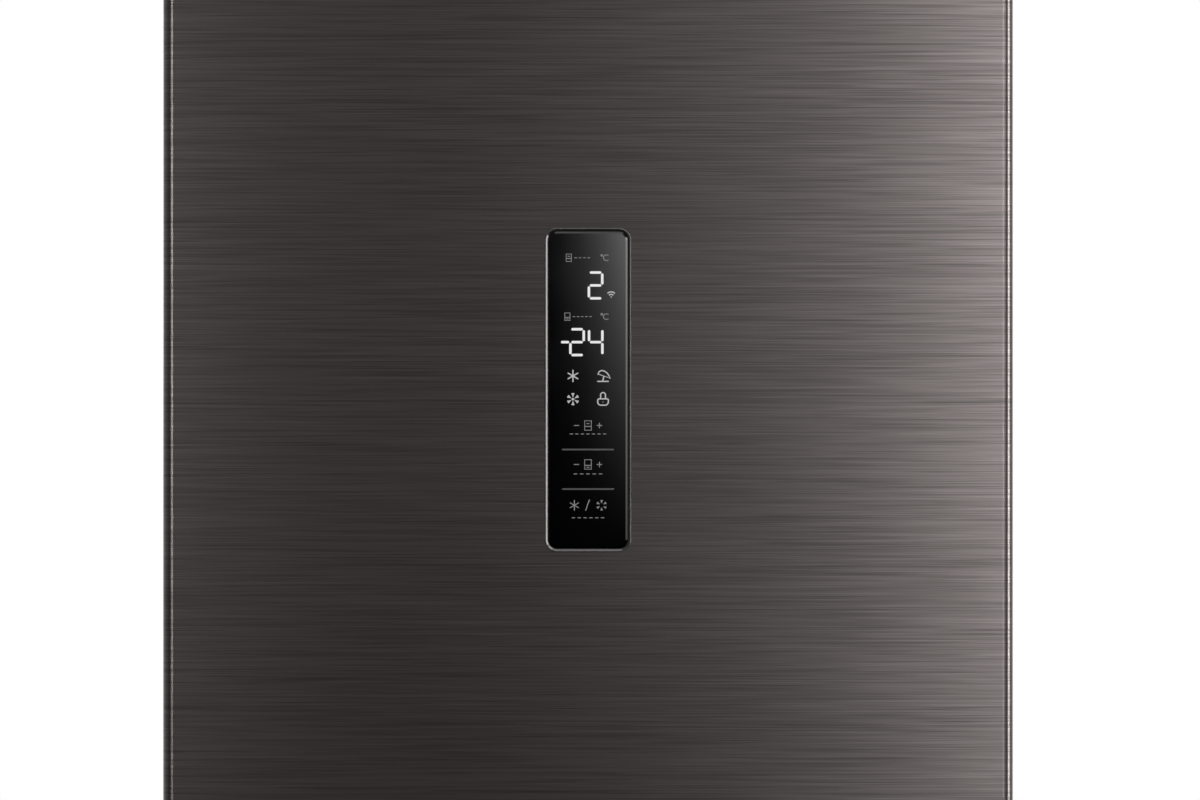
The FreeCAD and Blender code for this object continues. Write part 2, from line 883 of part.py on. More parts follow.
def foam_core(fitted):
    """Insulation that fills the cabinet between the sheets and the liners, in four blocks that part at the
    fridge's ceiling, at the freezer's ceiling and over the compressor bay."""
    upright = along_z(rect(-panel_x, panel_x, cabinet_y + sheet, back_y - sheet), sheet_bend,
                      base_height + base_sheet, cabinet_height - sheet)
    level = along_x(rect(cabinet_y + sheet, back_y - sheet, base_height + base_sheet, cabinet_height - sheet),
                    sheet_bend, -panel_x, panel_x)
    rooms = [fridge_room(liner_wall), fridge_lip(), freezer_room(liner_wall), freezer_lip(), bay_space()]
    holes = [screw_holes(top_screws()), screw_holes(middle_screws()), screw_holes(bottom_screws())]
    whole = upright.common(level).cut(rooms + holes + [damper_channel()] + fitted)
    ceiling = fridge_ceiling + liner_wall
    middle = freezer_ceiling + liner_wall
    step = bay_y + bay_slant
    blocks = [
        box(-side_x, side_x, cabinet_y, back_y, ceiling, cabinet_height),
        box(-side_x, side_x, cabinet_y, back_y, middle, ceiling),
        box(-side_x, side_x, cabinet_y, step, base_height, middle),
        box(-side_x, side_x, step, back_y, base_height, middle),
    ]
    return Part.makeCompound([whole.common(block) for block in blocks])


def wall_spacers():
    """Two bumpers on the back that keep an air gap to the wall."""
    spacer = front_loft([
        (spacer_half_width, spacer_half_height, spacer_corner, back_y),
        (spacer_half_width - spacer_draft, spacer_half_height - spacer_draft, spacer_corner - 2, rear_y),
    ])
    rib_pitch = 2 * (side_x - back_panel_margin) / back_rib_count
    spacer.translate(Vector(rib_pitch, 0, cabinet_height - spacer_drop))
    return pair(spacer)


def top_screws():
    z = cabinet_height + hinge_plate
    left = hinge_plate_x + screw_edge
    right = side_x - hinge_plate_side_gap - screw_edge
    near = cabinet_y + 1.5 * screw_edge
    far = cabinet_y + top_hinge_reach - screw_edge
    spots = [Vector(left, near, z), Vector(right, near, z), Vector((left + right) / 2, far, z)]
    return [(spot, Vector(0, 0, -1)) for spot in spots]


def middle_screws():
    x = (flange_x + side_x) / 2
    rise = hinge_flange_height / 2 - screw_head_radius - hinge_plate_bend
    y = cabinet_y - hinge_plate
    return [(Vector(x, y, parting_height + dz), Vector(0, 1, 0)) for dz in (-rise, rise)]


def bottom_screws():
    y = cabinet_y + bottom_hinge_riser + bottom_hinge_reach / 2
    left = hinge_plate_x + screw_edge
    right = side_x - hinge_plate_side_gap - screw_edge
    return [(Vector(x, y, base_height - hinge_plate), Vector(0, 0, 1)) for x in (left, right)]


def screw_holes(screws):
    """Clearance holes for a set of screws, long enough for their shanks."""
    depth = screw_length + screw_clearance
    radius = screw_radius + screw_clearance
    return Part.makeCompound([rod(seat, seat + way * depth, radius) for seat, way in screws])


def hinge_screws():
    """Pan-head screws of all three hinges."""
    screws = []
    for seat, way in top_screws() + middle_screws() + bottom_screws():
        shank = rod(seat, seat + way * screw_length, screw_radius)
        head = rod(seat - way * screw_head_height, seat, screw_head_radius)
        screws.append(fuse([head, shank]))
    return Part.makeCompound(screws)


def hinge_pin(z, way):
    """Pin on the hinge axis that starts at a plate's face."""
    start = Vector(hinge_x, hinge_y, z)
    return rod(start, start + Vector(0, 0, way * pin_length), pin_radius)


def top_hinge():
    """Plate on the cabinet top with a pin that hangs into the fridge door."""
    end_x = side_x - hinge_plate_side_gap
    points = rect(hinge_plate_x, end_x, hinge_y - hinge_lobe, cabinet_y + top_hinge_reach)
    plate = along_z(points, hinge_plate_corner, cabinet_height, cabinet_height + hinge_plate)
    return fuse([plate, hinge_pin(cabinet_height, -1)]).cut(screw_holes(top_screws()))


def top_hinge_cover():
    """Plastic cover over the top hinge."""
    x0 = hinge_plate_x - hinge_cover_margin
    x1 = side_x
    y0 = hinge_y - hinge_lobe - hinge_cover_margin
    y1 = cabinet_y + top_hinge_reach + hinge_cover_margin
    top = cabinet_height + hinge_cover_height
    block = along_z(rect(x0, x1, y0, y1), hinge_cover_corner, cabinet_height, top)
    upper = [e for e in block.Edges if all(abs(v.Z - top) < 1e-6 for v in e.Vertexes)]
    block = block.makeFillet(hinge_cover_edge, upper)
    wall = hinge_cover_wall
    hollow = along_z(rect(x0 + wall, x1 - wall, y0 + wall, y1 - wall), hinge_cover_corner - wall,
                     cabinet_height, top - hinge_cover_edge)
    return block.cut(hollow)


def middle_hinge():
    """Bracket between the doors: flange on the mullion, plate in the gap, a pin up and a pin down."""
    x1 = side_x - hinge_plate_side_gap
    half = hinge_plate / 2
    points = rect(hinge_plate_x, x1, hinge_y - hinge_lobe, cabinet_y)
    corners = [hinge_plate_corner, hinge_plate_corner, 0, 0]
    plate = along_z(points, corners, parting_height - half, parting_height + half)
    rise = hinge_flange_height / 2
    flange = along_y(rect(hinge_plate_x, x1, parting_height - rise, parting_height + rise), hinge_plate_bend,
                     cabinet_y - hinge_plate, cabinet_y)
    pins = [hinge_pin(parting_height + half, 1), hinge_pin(parting_height - half, -1)]
    return fuse([plate, flange] + pins).cut(screw_holes(middle_screws()))


def bottom_hinge():
    """Stepped bracket under the base plate with a pin up into the freezer door."""
    x1 = side_x - hinge_plate_side_gap
    riser_y = cabinet_y + bottom_hinge_riser
    path = [
        (hinge_y - hinge_lobe, bottom_plate_z),
        (riser_y, bottom_plate_z),
        (riser_y, base_height - hinge_plate),
        (riser_y + bottom_hinge_reach, base_height - hinge_plate),
    ]
    section, radii = bent_strip(path, hinge_plate, [hinge_plate_bend, hinge_plate_bend])
    bracket = along_x(section, radii, hinge_plate_x, x1)
    footprint = along_z(rect(hinge_plate_x, x1, hinge_y - hinge_lobe, riser_y + bottom_hinge_reach),
                        hinge_plate_corner, bottom_plate_z, base_height)
    bracket = bracket.common(footprint)
    return fuse([bracket, hinge_pin(bottom_plate_z + hinge_plate, 1)]).cut(screw_holes(bottom_screws()))


def groove_points():
    """Corners of the grip groove in plan, from its rear edge to its front edge."""
    front = skin_y + groove_start
    rear = front + groove_width
    return [
        (-side_x, rear),
        (groove_depth - side_x, rear - groove_slope),
        (groove_depth - side_x, front + groove_slope),
        (-side_x, front),
    ]


def door_skin(z0, z1):
    """Steel front of a door, wrapped round both edges."""
    lip_y = skin_y + groove_start - grip_wall
    hem_y = seat_y - liner_wall
    path = [
        (skin_hem - side_x, lip_y),
        (-side_x, lip_y),
        (-side_x, skin_y),
        (side_x, skin_y),
        (side_x, hem_y),
        (side_x - skin_hem, hem_y),
    ]
    bend = door_edge_radius - sheet
    section, radii = bent_strip(path, sheet, [0, bend, bend, 0])
    return along_z(section, radii, z0 + door_cap_height, z1 - door_cap_height)


def door_grip(z0, z1):
    """Plastic channel that forms the finger groove along the opening edge."""
    hem_y = seat_y - liner_wall
    path = [(grip_hem - side_x, hem_y), (-side_x, hem_y)] + groove_points()
    bends = [0, groove_edge_radius, groove_radius, groove_radius]
    section, radii = bent_strip(path, grip_wall, bends)
    return along_z(section, radii, z0 + door_cap_height, z1 - door_cap_height)


def bush_bore(edge, way):
    """Bore for a hinge pin, from outside the bush into the door."""
    start = Vector(hinge_x, hinge_y, edge - way * bush_flange)
    return rod(start, start + Vector(0, 0, way * (bush_flange + pin_length)), pin_radius + pin_clearance)


def bush_body(edge, way):
    """Bush on the hinge axis, from its flange outside the cap to its closed end in the foam."""
    start = Vector(hinge_x, hinge_y, edge - way * bush_flange)
    return rod(start, start + Vector(0, 0, way * (bush_flange + pin_length + bush_floor)), bush_radius)


def door_end_caps(z0, z1):
    """Moulded caps that close a door at its bottom and top, each with a hinge bush."""
    points = rect(-side_x, side_x, skin_y, seat_y)
    corners = [door_edge_radius, door_edge_radius, door_rear_radius, door_rear_radius]
    caps = []
    for edge, way in ((z0, 1), (z1, -1)):
        plate = along_z(points, corners, edge, edge + way * door_cap_height)
        caps.append(fuse([plate, bush_body(edge, way)]).cut(bush_bore(edge, way)))
    return Part.makeCompound(caps)


def rim_profile(height):
    """Section of the raised rim on a door liner."""
    return [
        (0, seat_y),
        (rim_draft, seat_y + height),
        (rim_width - rim_draft, seat_y + height),
        (rim_width, seat_y),
    ]


def rim_core_profile(height):
    """Section of the foam inside the raised rim."""
    return [
        (liner_wall, seat_y - liner_wall),
        (rim_draft + liner_wall, seat_y + height - liner_wall),
        (rim_width - rim_draft - liner_wall, seat_y + height - liner_wall),
        (rim_width - liner_wall, seat_y - liner_wall),
    ]


def bin_lug(level, height):
    """Lug on the raised rim's right inner side that carries a bin's rim."""
    top = level + height - bin_rim
    return box(bin_x - lug_depth, bin_x + liner_wall, seat_y + lug_start, seat_y + lug_start + lug_length,
               top - lug_height, top)


def door_liner(z0, z1, rim_x, rim_z, rim_height, lugs):
    """White inner wall of a door with its raised rim."""
    half_width = side_x - liner_edge_gap
    low = z0 + door_cap_height
    high = z1 - door_cap_height
    plate = box(-half_width, half_width, seat_y - liner_wall, seat_y, low, high)
    rim = mitred_ring(rim_profile(rim_height), -rim_x, rim_x, *rim_z)
    core = mitred_ring(rim_core_profile(rim_height), -rim_x, rim_x, *rim_z)
    return fuse([plate, rim] + lugs).cut(core)


def fridge_door_liner():
    lugs = []
    for level in bin_levels:
        lugs.append(bin_lug(level, bin_height))
    lugs.append(bin_lug(bottle_bin_z, bottle_bin_height))
    both = lugs + [mirrored(lug) for lug in lugs]
    z = (fridge_door_bottom, fridge_door_top)
    return door_liner(*z, fridge_rim_x, fridge_rim_z, fridge_rim_height, both)


def freezer_door_liner():
    z = (freezer_door_bottom, freezer_door_top)
    return door_liner(*z, freezer_rim_x, freezer_rim_z, freezer_rim_height, [])


def door_foam(z0, z1, rim_x, rim_z, rim_height, fitted):
    """Insulation of a door, cut round everything that sits in it."""
    points = rect(-panel_x, panel_x, skin_y + sheet, seat_y - liner_wall)
    bend = door_edge_radius - sheet
    block = along_z(points, [bend, bend, 0, 0], z0 + door_cap_height, z1 - door_cap_height)
    core = mitred_ring(rim_core_profile(rim_height), -rim_x, rim_x, *rim_z)
    groove = along_z(groove_points() + [(-side_x - sheet, skin_y + groove_start),
                                        (-side_x - sheet, skin_y + groove_start + groove_width)],
                     0, z0 + door_cap_height, z1 - door_cap_height)
    groove_rear = skin_y + groove_start + groove_width
    edge = box(-side_x, grip_wall - side_x, groove_rear, seat_y, z0 + door_cap_height, z1 - door_cap_height)
    nook = box(-side_x, grip_wall + groove_edge_radius - side_x, groove_rear - groove_slope, groove_rear,
               z0 + door_cap_height, z1 - door_cap_height)
    bushes = [bush_body(z0, 1), bush_body(z1, -1)]
    return fuse([block, core]).cut([groove, edge, nook] + bushes + fitted)


def door_seal(z0, z1):
    """Magnetic seal: foot on the liner, bellows waist and a head against the cabinet."""
    tip = seat_y + seal_depth
    waist = seat_y + seal_foot + seal_waist
    head = tip - seal_foot
    profile = [
        (0, seat_y),
        (seal_width, seat_y),
        (seal_width, seat_y + seal_foot),
        (seal_width - seal_waist, waist),
        (seal_width - seal_waist / 2, head),
        (seal_width - seal_waist / 2, tip),
        (seal_waist / 2, tip),
        (seal_waist / 2, head),
        (seal_waist, waist),
        (0, seat_y + seal_foot),
    ]
    return mitred_ring(profile, seal_inset - side_x, side_x - seal_inset, z0 + seal_inset, z1 - seal_inset)


def display_section(inset, depth):
    """Rounded rectangle of the display, inset from its outline, at a depth behind the door skin."""
    return (display_width / 2 - inset, display_height / 2 - inset, display_corner - inset, display_y + depth)


def display_block(inset, depth0, depth1):
    """Straight block with the display's outline."""
    return front_loft([display_section(inset, depth0), display_section(inset, depth1)])


def placed_display(shape):
    """Lift a display piece from the middle of its own drawing to its height on the door."""
    shape.translate(Vector(0, 0, display_centre_height))
    return shape


def display_opening():
    """Hole through the door skin for the display frame."""
    return placed_display(display_block(-frame_clearance, 0, sheet))


def display_frame():
    """Metal frame with a broken outer edge and a bevel that falls from its thin rim to the glass."""
    outer = front_loft([
        display_section(frame_edge, -frame_proud),
        display_section(0, frame_edge - frame_proud),
        display_section(0, frame_depth),
    ])
    bevel = front_loft([
        display_section(frame_rim, -frame_proud),
        display_section(frame_width, frame_slope_depth),
    ])
    inner = display_block(frame_width, frame_slope_depth, frame_depth)
    return placed_display(outer.cut([bevel, inner]))


def display_glass():
    """Black cover glass with a shallow ground edge."""
    edge = frame_width + glass_clearance
    pane = front_loft([
        display_section(edge + glass_edge_width, glass_setback),
        display_section(edge, glass_setback + glass_edge_drop),
        display_section(edge, glass_setback + glass_thickness),
    ])
    return placed_display(pane)


def board_spots(inset):
    """Where the board stands on posts, in the display's own drawing."""
    x = display_width / 2 - inset
    z = display_height / 2 - inset
    return rect(-x, x, -z, z)


def display_housing():
    """Box behind the door skin that holds the board."""
    outer = display_block(0, frame_depth, housing_depth)
    hollow = display_block(housing_wall, frame_depth, housing_depth - housing_wall)
    floor_y = display_y + housing_depth - housing_wall
    posts = []
    for x, z in board_spots(housing_wall + 2 * board_post_radius):
        posts.append(rod(Vector(x, floor_y - board_post_height, z), Vector(x, floor_y, z), board_post_radius))
    return placed_display(fuse([outer.cut(hollow)] + posts))


def display_board():
    """Circuit board with the dark reflector block that stands behind the glass."""
    rear = housing_depth - housing_wall - board_post_height
    board = display_block(housing_wall + board_clearance, rear - board_thickness, rear)
    front = glass_setback + glass_thickness + board_clearance
    half_width = display_width / 2 - reflector_inset
    half_height = display_height / 2 - reflector_inset
    reflector = box(-half_width, half_width, display_y + front, display_y + rear - board_thickness,
                    -half_height, half_height)
    return placed_display(fuse([board, reflector]))


def hung_bin(level, height):
    """Door bin that hangs by its rim on two lugs."""
    half = bin_x - lug_depth - bin_gap
    y0 = seat_y + bin_gap
    y1 = seat_y + bin_depth
    outer, inner = open_tray(-half, half, y0, y1, level, level + height, bin_wall, bin_corner, bin_draft)
    rim = box(bin_gap - bin_x, bin_x - bin_gap, y0 + bin_corner / 2, y1 - bin_corner,
              level + height - bin_rim, level + height)
    return fuse([outer, rim]).cut(inner)


def door_bins():
    return Part.makeCompound([hung_bin(level, bin_height) for level in bin_levels])


def bottle_bin():
    return hung_bin(bottle_bin_z, bottle_bin_height)


def drawer(room_x, z, front_y, rear):
    """Drawer with a wide front, a drafted tray and a rim that slides on two ledges."""
    half = room_x - ledge_width - drawer_tray_gap
    tray_y = front_y + drawer_front - drawer_draft
    outer, inner = open_tray(-half, half, tray_y, rear, *z, drawer_wall, drawer_corner, drawer_draft)
    rim_x = room_x - drawer_rim_gap
    rim = along_z(rect(-rim_x, rim_x, front_y + drawer_front, rear), [0, 0, drawer_corner, drawer_corner],
                  z[1] - drawer_rim, z[1])
    front_x = room_x - drawer_side_gap
    front_top = z[1] + drawer_head_gap / 3
    front = along_y(rect(-front_x, front_x, z[0] - drawer_floor_gap / 3, front_top), drawer_front_corner,
                    front_y, front_y + drawer_front)
    handle_z = front_top - drawer_handle_drop
    nose = front_y - drawer_handle_depth
    pull = [
        (front_y, handle_z),
        (nose, handle_z - drawer_handle_slope),
        (nose, handle_z - drawer_handle_height / 2),
        (front_y, handle_z - drawer_handle_height),
    ]
    handle = along_x(pull, [0, drawer_handle_slope, drawer_handle_slope, 0], -drawer_handle_width / 2,
                     drawer_handle_width / 2)
    return fuse([outer, rim, front, handle]).cut(inner)


def slider_z():
    return vegetable_z[1] - drawer_handle_drop - drawer_handle_height / 2


def vegetable_drawer():
    """Vegetable drawer with the slot of its humidity slider."""
    body = drawer(fridge_x, vegetable_z, shelf_y, shelf_rear_y)
    half = slider_slot_height / 2
    slot = rect(slider_offset - slider_slot_width / 2, slider_offset + slider_slot_width / 2,
                slider_z() - half, slider_z() + half)
    return body.cut(along_y(slot, half * 0.6, shelf_y, shelf_y + slider_slot_depth))


def humidity_slider():
    """Small ridged slider in the slot of the vegetable drawer."""
    half = slider_slot_height / 2 - slider_gap
    points = rect(slider_offset - slider_width / 2, slider_offset + slider_width / 2, slider_z() - half,
                  slider_z() + half)
    body = along_y(points, half * 0.5, shelf_y - slider_proud, shelf_y + slider_slot_depth - slider_gap)
    pitch = slider_width / (slider_ridge_count + 1)
    for i in range(slider_ridge_count):
        x = slider_offset - slider_width / 2 + pitch * (i + 1)
        body = body.cut(box(x - pitch / 5, x + pitch / 5, shelf_y - slider_proud, shelf_y - slider_proud / 2,
                            slider_z() - half, slider_z() + half))
    return body


def chill_drawer():
    return drawer(fridge_x, chill_z, shelf_y, shelf_rear_y)


def freezer_drawer(index):
    low, high = freezer_drawer_rooms[index]
    z = (low + drawer_floor_gap, high - drawer_head_gap)
    return drawer(freezer_x, z, freezer_drawer_y, freezer_drawer_rears[index])


def all_shelf_levels():
    return [cover_shelf_z] + shelf_levels


def glass_shelf(z):
    half_width = fridge_x - shelf_side_gap
    front = shelf_y + shelf_trim_lip
    rear = shelf_rear_y - shelf_trim_lip
    return box(-half_width, half_width, front, rear, z, z + shelf_glass)


def glass_shelves():
    return Part.makeCompound([glass_shelf(z) for z in all_shelf_levels()])


def shelf_trims():
    """Front and rear trim of each glass shelf; above the drawers the rear one stands up as a stop."""
    half_width = fridge_x - shelf_side_gap
    trims = []
    for z in all_shelf_levels():
        glass = glass_shelf(z)
        low = z - shelf_trim_lip
        high = z + shelf_glass + shelf_trim_lip
        front = along_x(rect(shelf_y, shelf_y + shelf_trim_depth, low, high), shelf_trim_corner,
                        -half_width, half_width)
        stop = high if z == cover_shelf_z else z + shelf_rear_trim_height
        rear = along_x(rect(shelf_rear_y - shelf_rear_trim_depth, shelf_rear_y, low, stop), shelf_trim_corner,
                       -half_width, half_width)
        trims += [front.cut(glass), rear.cut(glass)]
    return Part.makeCompound(trims)


def air_duct_panel():
    """Hollow panel up the fridge's back with rows of air slots."""
    path = [
        (-duct_half_width, inner_back_y),
        (-duct_half_width, duct_y),
        (duct_half_width, duct_y),
        (duct_half_width, inner_back_y),
    ]
    top = fridge_ceiling - duct_top_gap
    section, radii = bent_strip(path, duct_wall, [duct_corner, duct_corner])
    walls = along_z(section, radii, fridge_floor, top)
    corners = [duct_corner + duct_wall, duct_corner + duct_wall, 0, 0]
    outline = rect(-duct_half_width, duct_half_width, duct_y, inner_back_y)
    lid = along_z(outline, corners, top - duct_wall, top)
    panel = fuse([walls, lid]).common(fridge_room(0))
    first = chill_z[1] + drawer_head_gap + duct_slot_pitch
    rows = int((top - duct_slot_pitch - first) // duct_slot_pitch) + 1
    for i in range(rows):
        z = first + duct_slot_pitch * i
        for x in (-duct_slot_offset, duct_slot_offset):
            slot = rect(x - duct_slot_width / 2, x + duct_slot_width / 2, z, z + duct_slot_height)
            panel = panel.cut(along_y(slot, duct_slot_height * 0.49, duct_y, duct_y + 2 * duct_wall))
    return panel


def damper_frame():
    """Frame in the air channel between the rooms, with lugs for the flap's pins."""
    y0 = damper_y[0] + damper_fit
    y1 = damper_y[1] - damper_fit
    half = damper_half_width - damper_fit
    wall = damper_frame_wall
    top = damper_z + damper_frame_height
    ring = box(-half, half, y0, y1, damper_z, top)
    ring = ring.cut(box(wall - half, half - wall, y0 + wall, y1 - wall, damper_z, top))
    pieces = [ring]
    for side in (-1, 1):
        x = sorted([side * half, side * (half - wall)])
        pieces.append(box(*x, y1 - 2 * damper_lug, y1, damper_z - 2 * damper_lug, damper_z))
    frame = fuse(pieces)
    start = Vector(-half, damper_pivot().y, damper_pivot().z)
    bore = rod(start, start + Vector(2 * half, 0, 0), damper_pin_radius + damper_pin_clearance)
    return frame.cut(bore)


def damper_pivot():
    """Middle of the flap's pins."""
    return Vector(0, damper_y[1] - damper_fit - damper_lug, damper_z - damper_lug)


def damper_flap():
    """Plate that shuts the air channel from below, on two short pins."""
    pivot = damper_pivot()
    half = damper_half_width - damper_fit - damper_frame_wall - flap_gap
    tip = Vector(half + damper_frame_wall, 0, 0)
    plate = box(-half, half, damper_y[0] + damper_fit + flap_tip_gap, pivot.y,
                damper_z - flap_gap - flap_thickness, damper_z - flap_gap)
    web = box(-half, half, pivot.y - damper_pin_radius, pivot.y, pivot.z, damper_z - flap_gap)
    return fuse([plate, web, rod(pivot - tip, pivot + tip, damper_pin_radius)])


def lamp_lens():
    """Lens of the ceiling lamp."""
    y0 = cabinet_y + lamp_setback
    outline_points = rect(-lamp_half_width, lamp_half_width, y0, y0 + lamp_depth)
    lens = along_z(outline_points, lamp_corner, fridge_ceiling - lamp_height, fridge_ceiling)
    rim = [e for e in lens.Edges if all(abs(v.Z - fridge_ceiling + lamp_height) < 1e-6 for v in e.Vertexes)]
    return lens.makeFillet(lamp_height / 3, rim)


def freezer_back_cover():
    """Cover in front of the evaporator with return slots below and a fan grille above."""
    half = freezer_x - cover_gap
    points = rect(-half, half, step_z + cover_gap, freezer_ceiling - cover_gap)
    cover = along_y(points, liner_corner, cover_y, cover_y + cover_thickness)
    slots = []
    pitch = 2 * half / (cover_slot_count + 1)
    for i in range(cover_slot_count):
        x = pitch * (i + 1) - half
        z = step_z + evaporator_rise
        slot = rect(x - pitch / 3, x + pitch / 3, z, z + cover_slot_height)
        slots.append(along_y(slot, cover_slot_height * 0.49, cover_y, cover_y + cover_thickness))
    rise = 2 * fan_radius / (fan_slot_count + 1)
    for i in range(fan_slot_count):
        offset = rise * (i + 1) - fan_radius
        reach = math.sqrt(fan_radius ** 2 - offset ** 2)
        slot = rect(-reach, reach, fan_z + offset - rise / 3, fan_z + offset + rise / 3)
        slots.append(along_y(slot, rise / 4, cover_y, cover_y + cover_thickness))
    return cover.cut(slots)


def evaporator_fan():
    """Axial fan wheel behind the grille."""
    bore = motor_shaft_radius + axle_clearance
    centre = Vector(0, fan_y, fan_z)
    depth = Vector(0, fan_depth, 0)
    hub = rod(centre, centre + depth, fan_hub_radius)
    pieces = [hub]
    middle = centre + depth / 2
    for i in range(fan_blade_count):
        blade = box(-fan_blade_width / 2, fan_blade_width / 2,
                    -fan_blade_thickness / 2, fan_blade_thickness / 2,
                    fan_hub_radius / 2, fan_radius)
        blade.rotate(Vector(0, 0, 0), Vector(0, 0, 1), fan_blade_pitch)
        blade.rotate(Vector(0, 0, 0), Vector(0, 1, 0), 360 * i / fan_blade_count)
        blade.translate(middle)
        pieces.append(blade)
    wheel = fuse(pieces).common(rod(centre, centre + depth, fan_radius))
    return wheel.cut(rod(centre, centre + depth, bore))


def fan_motor():
    """Motor with its shaft, carried by a bar on two posts from the cover."""
    back = motor_y + motor_depth
    pieces = [
        rod(Vector(0, motor_y, fan_z), Vector(0, back, fan_z), motor_radius),
        rod(Vector(0, fan_y, fan_z), Vector(0, motor_y, fan_z), motor_shaft_radius),
    ]
    half = fan_radius + motor_arm_width
    bar = (fan_z - motor_arm_width / 2, fan_z + motor_arm_width / 2)
    pieces.append(box(-half, half, back - motor_arm_thickness, back, *bar))
    for x in (-half, half - motor_arm_thickness):
        pieces.append(box(x, x + motor_arm_thickness, cover_y + cover_thickness, back, *bar))
    return fuse(pieces)


def evaporator():
    """Finned evaporator block with the return bends of its tube."""
    y0 = evaporator_y
    y1 = evaporator_y + evaporator_depth
    half = evaporator_half_width
    top = evaporator_z + evaporator_height
    block = box(-half, half, y0, y1, evaporator_z, top)
    pitch = 2 * half / evaporator_fin_count
    middle = (y0 + y1) / 2
    gaps = []
    for i in range(evaporator_fin_count):
        x = pitch * (i + 0.5) - half
        for front, rear in ((y0, middle - evaporator_core / 2), (middle + evaporator_core / 2, y1)):
            gaps.append(box(x - evaporator_fin_gap / 2, x + evaporator_fin_gap / 2, front, rear,
                            evaporator_z, top))
    bends = []
    run = evaporator_height / 3
    for side, z in ((1, evaporator_z + run / 2), (-1, evaporator_z + run * 1.5)):
        out = side * (half + 2 * pipe_bend)
        bend = [Vector(side * half, middle, z), Vector(out, middle, z),
                Vector(out, middle, z + run), Vector(side * half, middle, z + run)]
        bends.append(tube(bend, evaporator_tube_radius, pipe_bend))
    return fuse([block.cut(gaps)] + bends)


def defrost_heater():
    """Rod heater under the evaporator, turned up at its ends."""
    y = evaporator_y + evaporator_depth / 2
    z = evaporator_z - heater_gap - heater_radius
    reach = evaporator_half_width + heater_radius + heater_gap
    rise = Vector(0, 0, evaporator_tube_radius + pipe_bend)
    left = Vector(-reach, y, z)
    right = Vector(reach, y, z)
    return tube([left + rise, left, right, right + rise], heater_radius, pipe_bend / 2)


def grommet_spots():
    """Where the compressor's feet stand on the tray."""
    dx = compressor_foot_length / 2 - grommet_inset
    dy = compressor_foot_width / 2 - grommet_inset
    return [Vector(compressor_x + a, compressor_y + b, tray_top) for a, b in rect(-dx, dx, -dy, dy)]


def compressor():
    """Welded compressor shell on its foot plate."""
    seam = shell_z + shell_seam_height
    top = shell_z + shell_height
    lower = Part.makeCylinder(shell_radius, shell_seam_height, Vector(compressor_x, compressor_y, shell_z))
    lower = lower.makeFillet(shell_foot_radius, [e for e in lower.Edges if e.BoundBox.ZMax < shell_z + 1])
    upper = Part.makeCylinder(shell_radius - shell_seam, top - seam, Vector(compressor_x, compressor_y, seam))
    upper = upper.makeFillet(shell_dome, [e for e in upper.Edges if e.BoundBox.ZMin > top - 1])
    weld = Part.makeCylinder(shell_radius + shell_seam, 2 * shell_seam,
                             Vector(compressor_x, compressor_y, seam - shell_seam))
    dx = compressor_foot_length / 2
    dy = compressor_foot_width / 2
    foot = along_z(rect(compressor_x - dx, compressor_x + dx, compressor_y - dy, compressor_y + dy),
                   grommet_inset, shell_z, shell_z + compressor_foot_sheet)
    holes = []
    for spot in grommet_spots():
        base = Vector(spot.x, spot.y, shell_z)
        holes.append(rod(base, base + Vector(0, 0, compressor_foot_sheet), grommet_waist + grommet_gap))
    return fuse([lower, upper, weld, foot.cut(holes)])


def compressor_grommets():
    """Rubber mounts between the tray and the compressor's foot plate."""
    low = shell_z
    high = shell_z + compressor_foot_sheet
    cap = high + grommet_cap
    grommets = []
    for spot in grommet_spots():
        grommets.append(turned([
            (0, tray_top),
            (grommet_radius, tray_top),
            (grommet_radius, low),
            (grommet_waist, low),
            (grommet_waist, high),
            (grommet_radius - 1, high),
            (grommet_waist, cap),
            (0, cap),
        ], spot.x, spot.y))
    return Part.makeCompound(grommets)


def terminal_cover(shell):
    """Cover over the compressor's terminals with the gland where the cord would enter."""
    x0 = compressor_x + shell_radius - terminal_corner
    y0 = compressor_y - terminal_length / 2
    y1 = compressor_y + terminal_length / 2
    z0 = shell_z + terminal_rise
    points = rect(x0, compressor_x + shell_radius + terminal_width, y0, y1)
    body = along_z(points, [0, terminal_corner, terminal_corner, 0], z0, z0 + terminal_height)
    mouth = gland_mouth()
    inward = Vector(0, -1, 0)
    boss = rod(mouth, mouth + inward * gland_length, gland_radius)
    bore = rod(mouth, mouth + inward * gland_bore_depth, gland_bore)
    return fuse([body.cut(shell), boss]).cut(bore)


def gland_mouth():
    """Middle of the gland's open end."""
    return Vector(compressor_x + shell_radius + terminal_width / 2,
                  compressor_y + terminal_length / 2 + gland_length,
                  shell_z + terminal_rise + terminal_height / 2)


def evaporation_dish():
    """Open dish on the compressor where defrost water dries off."""
    z0 = shell_z + shell_height + dish_gap
    y0 = compressor_y - dish_depth / 2
    outer, inner = open_tray(compressor_x - dish_half_width, compressor_x + dish_half_width,
                             y0, y0 + dish_depth, z0, z0 + dish_height,
                             drawer_wall, drawer_corner, drawer_draft)
    return outer.cut(inner)


def filter_drier(x, y):
    """Copper drier with tapered ends."""
    low = drier_height
    high = drier_height + drier_length
    return turned([
        (0, low),
        (drier_pipe_radius, low),
        (drier_radius, low + drier_taper),
        (drier_radius, high - drier_taper),
        (drier_pipe_radius, high),
        (0, high),
    ], x, y)


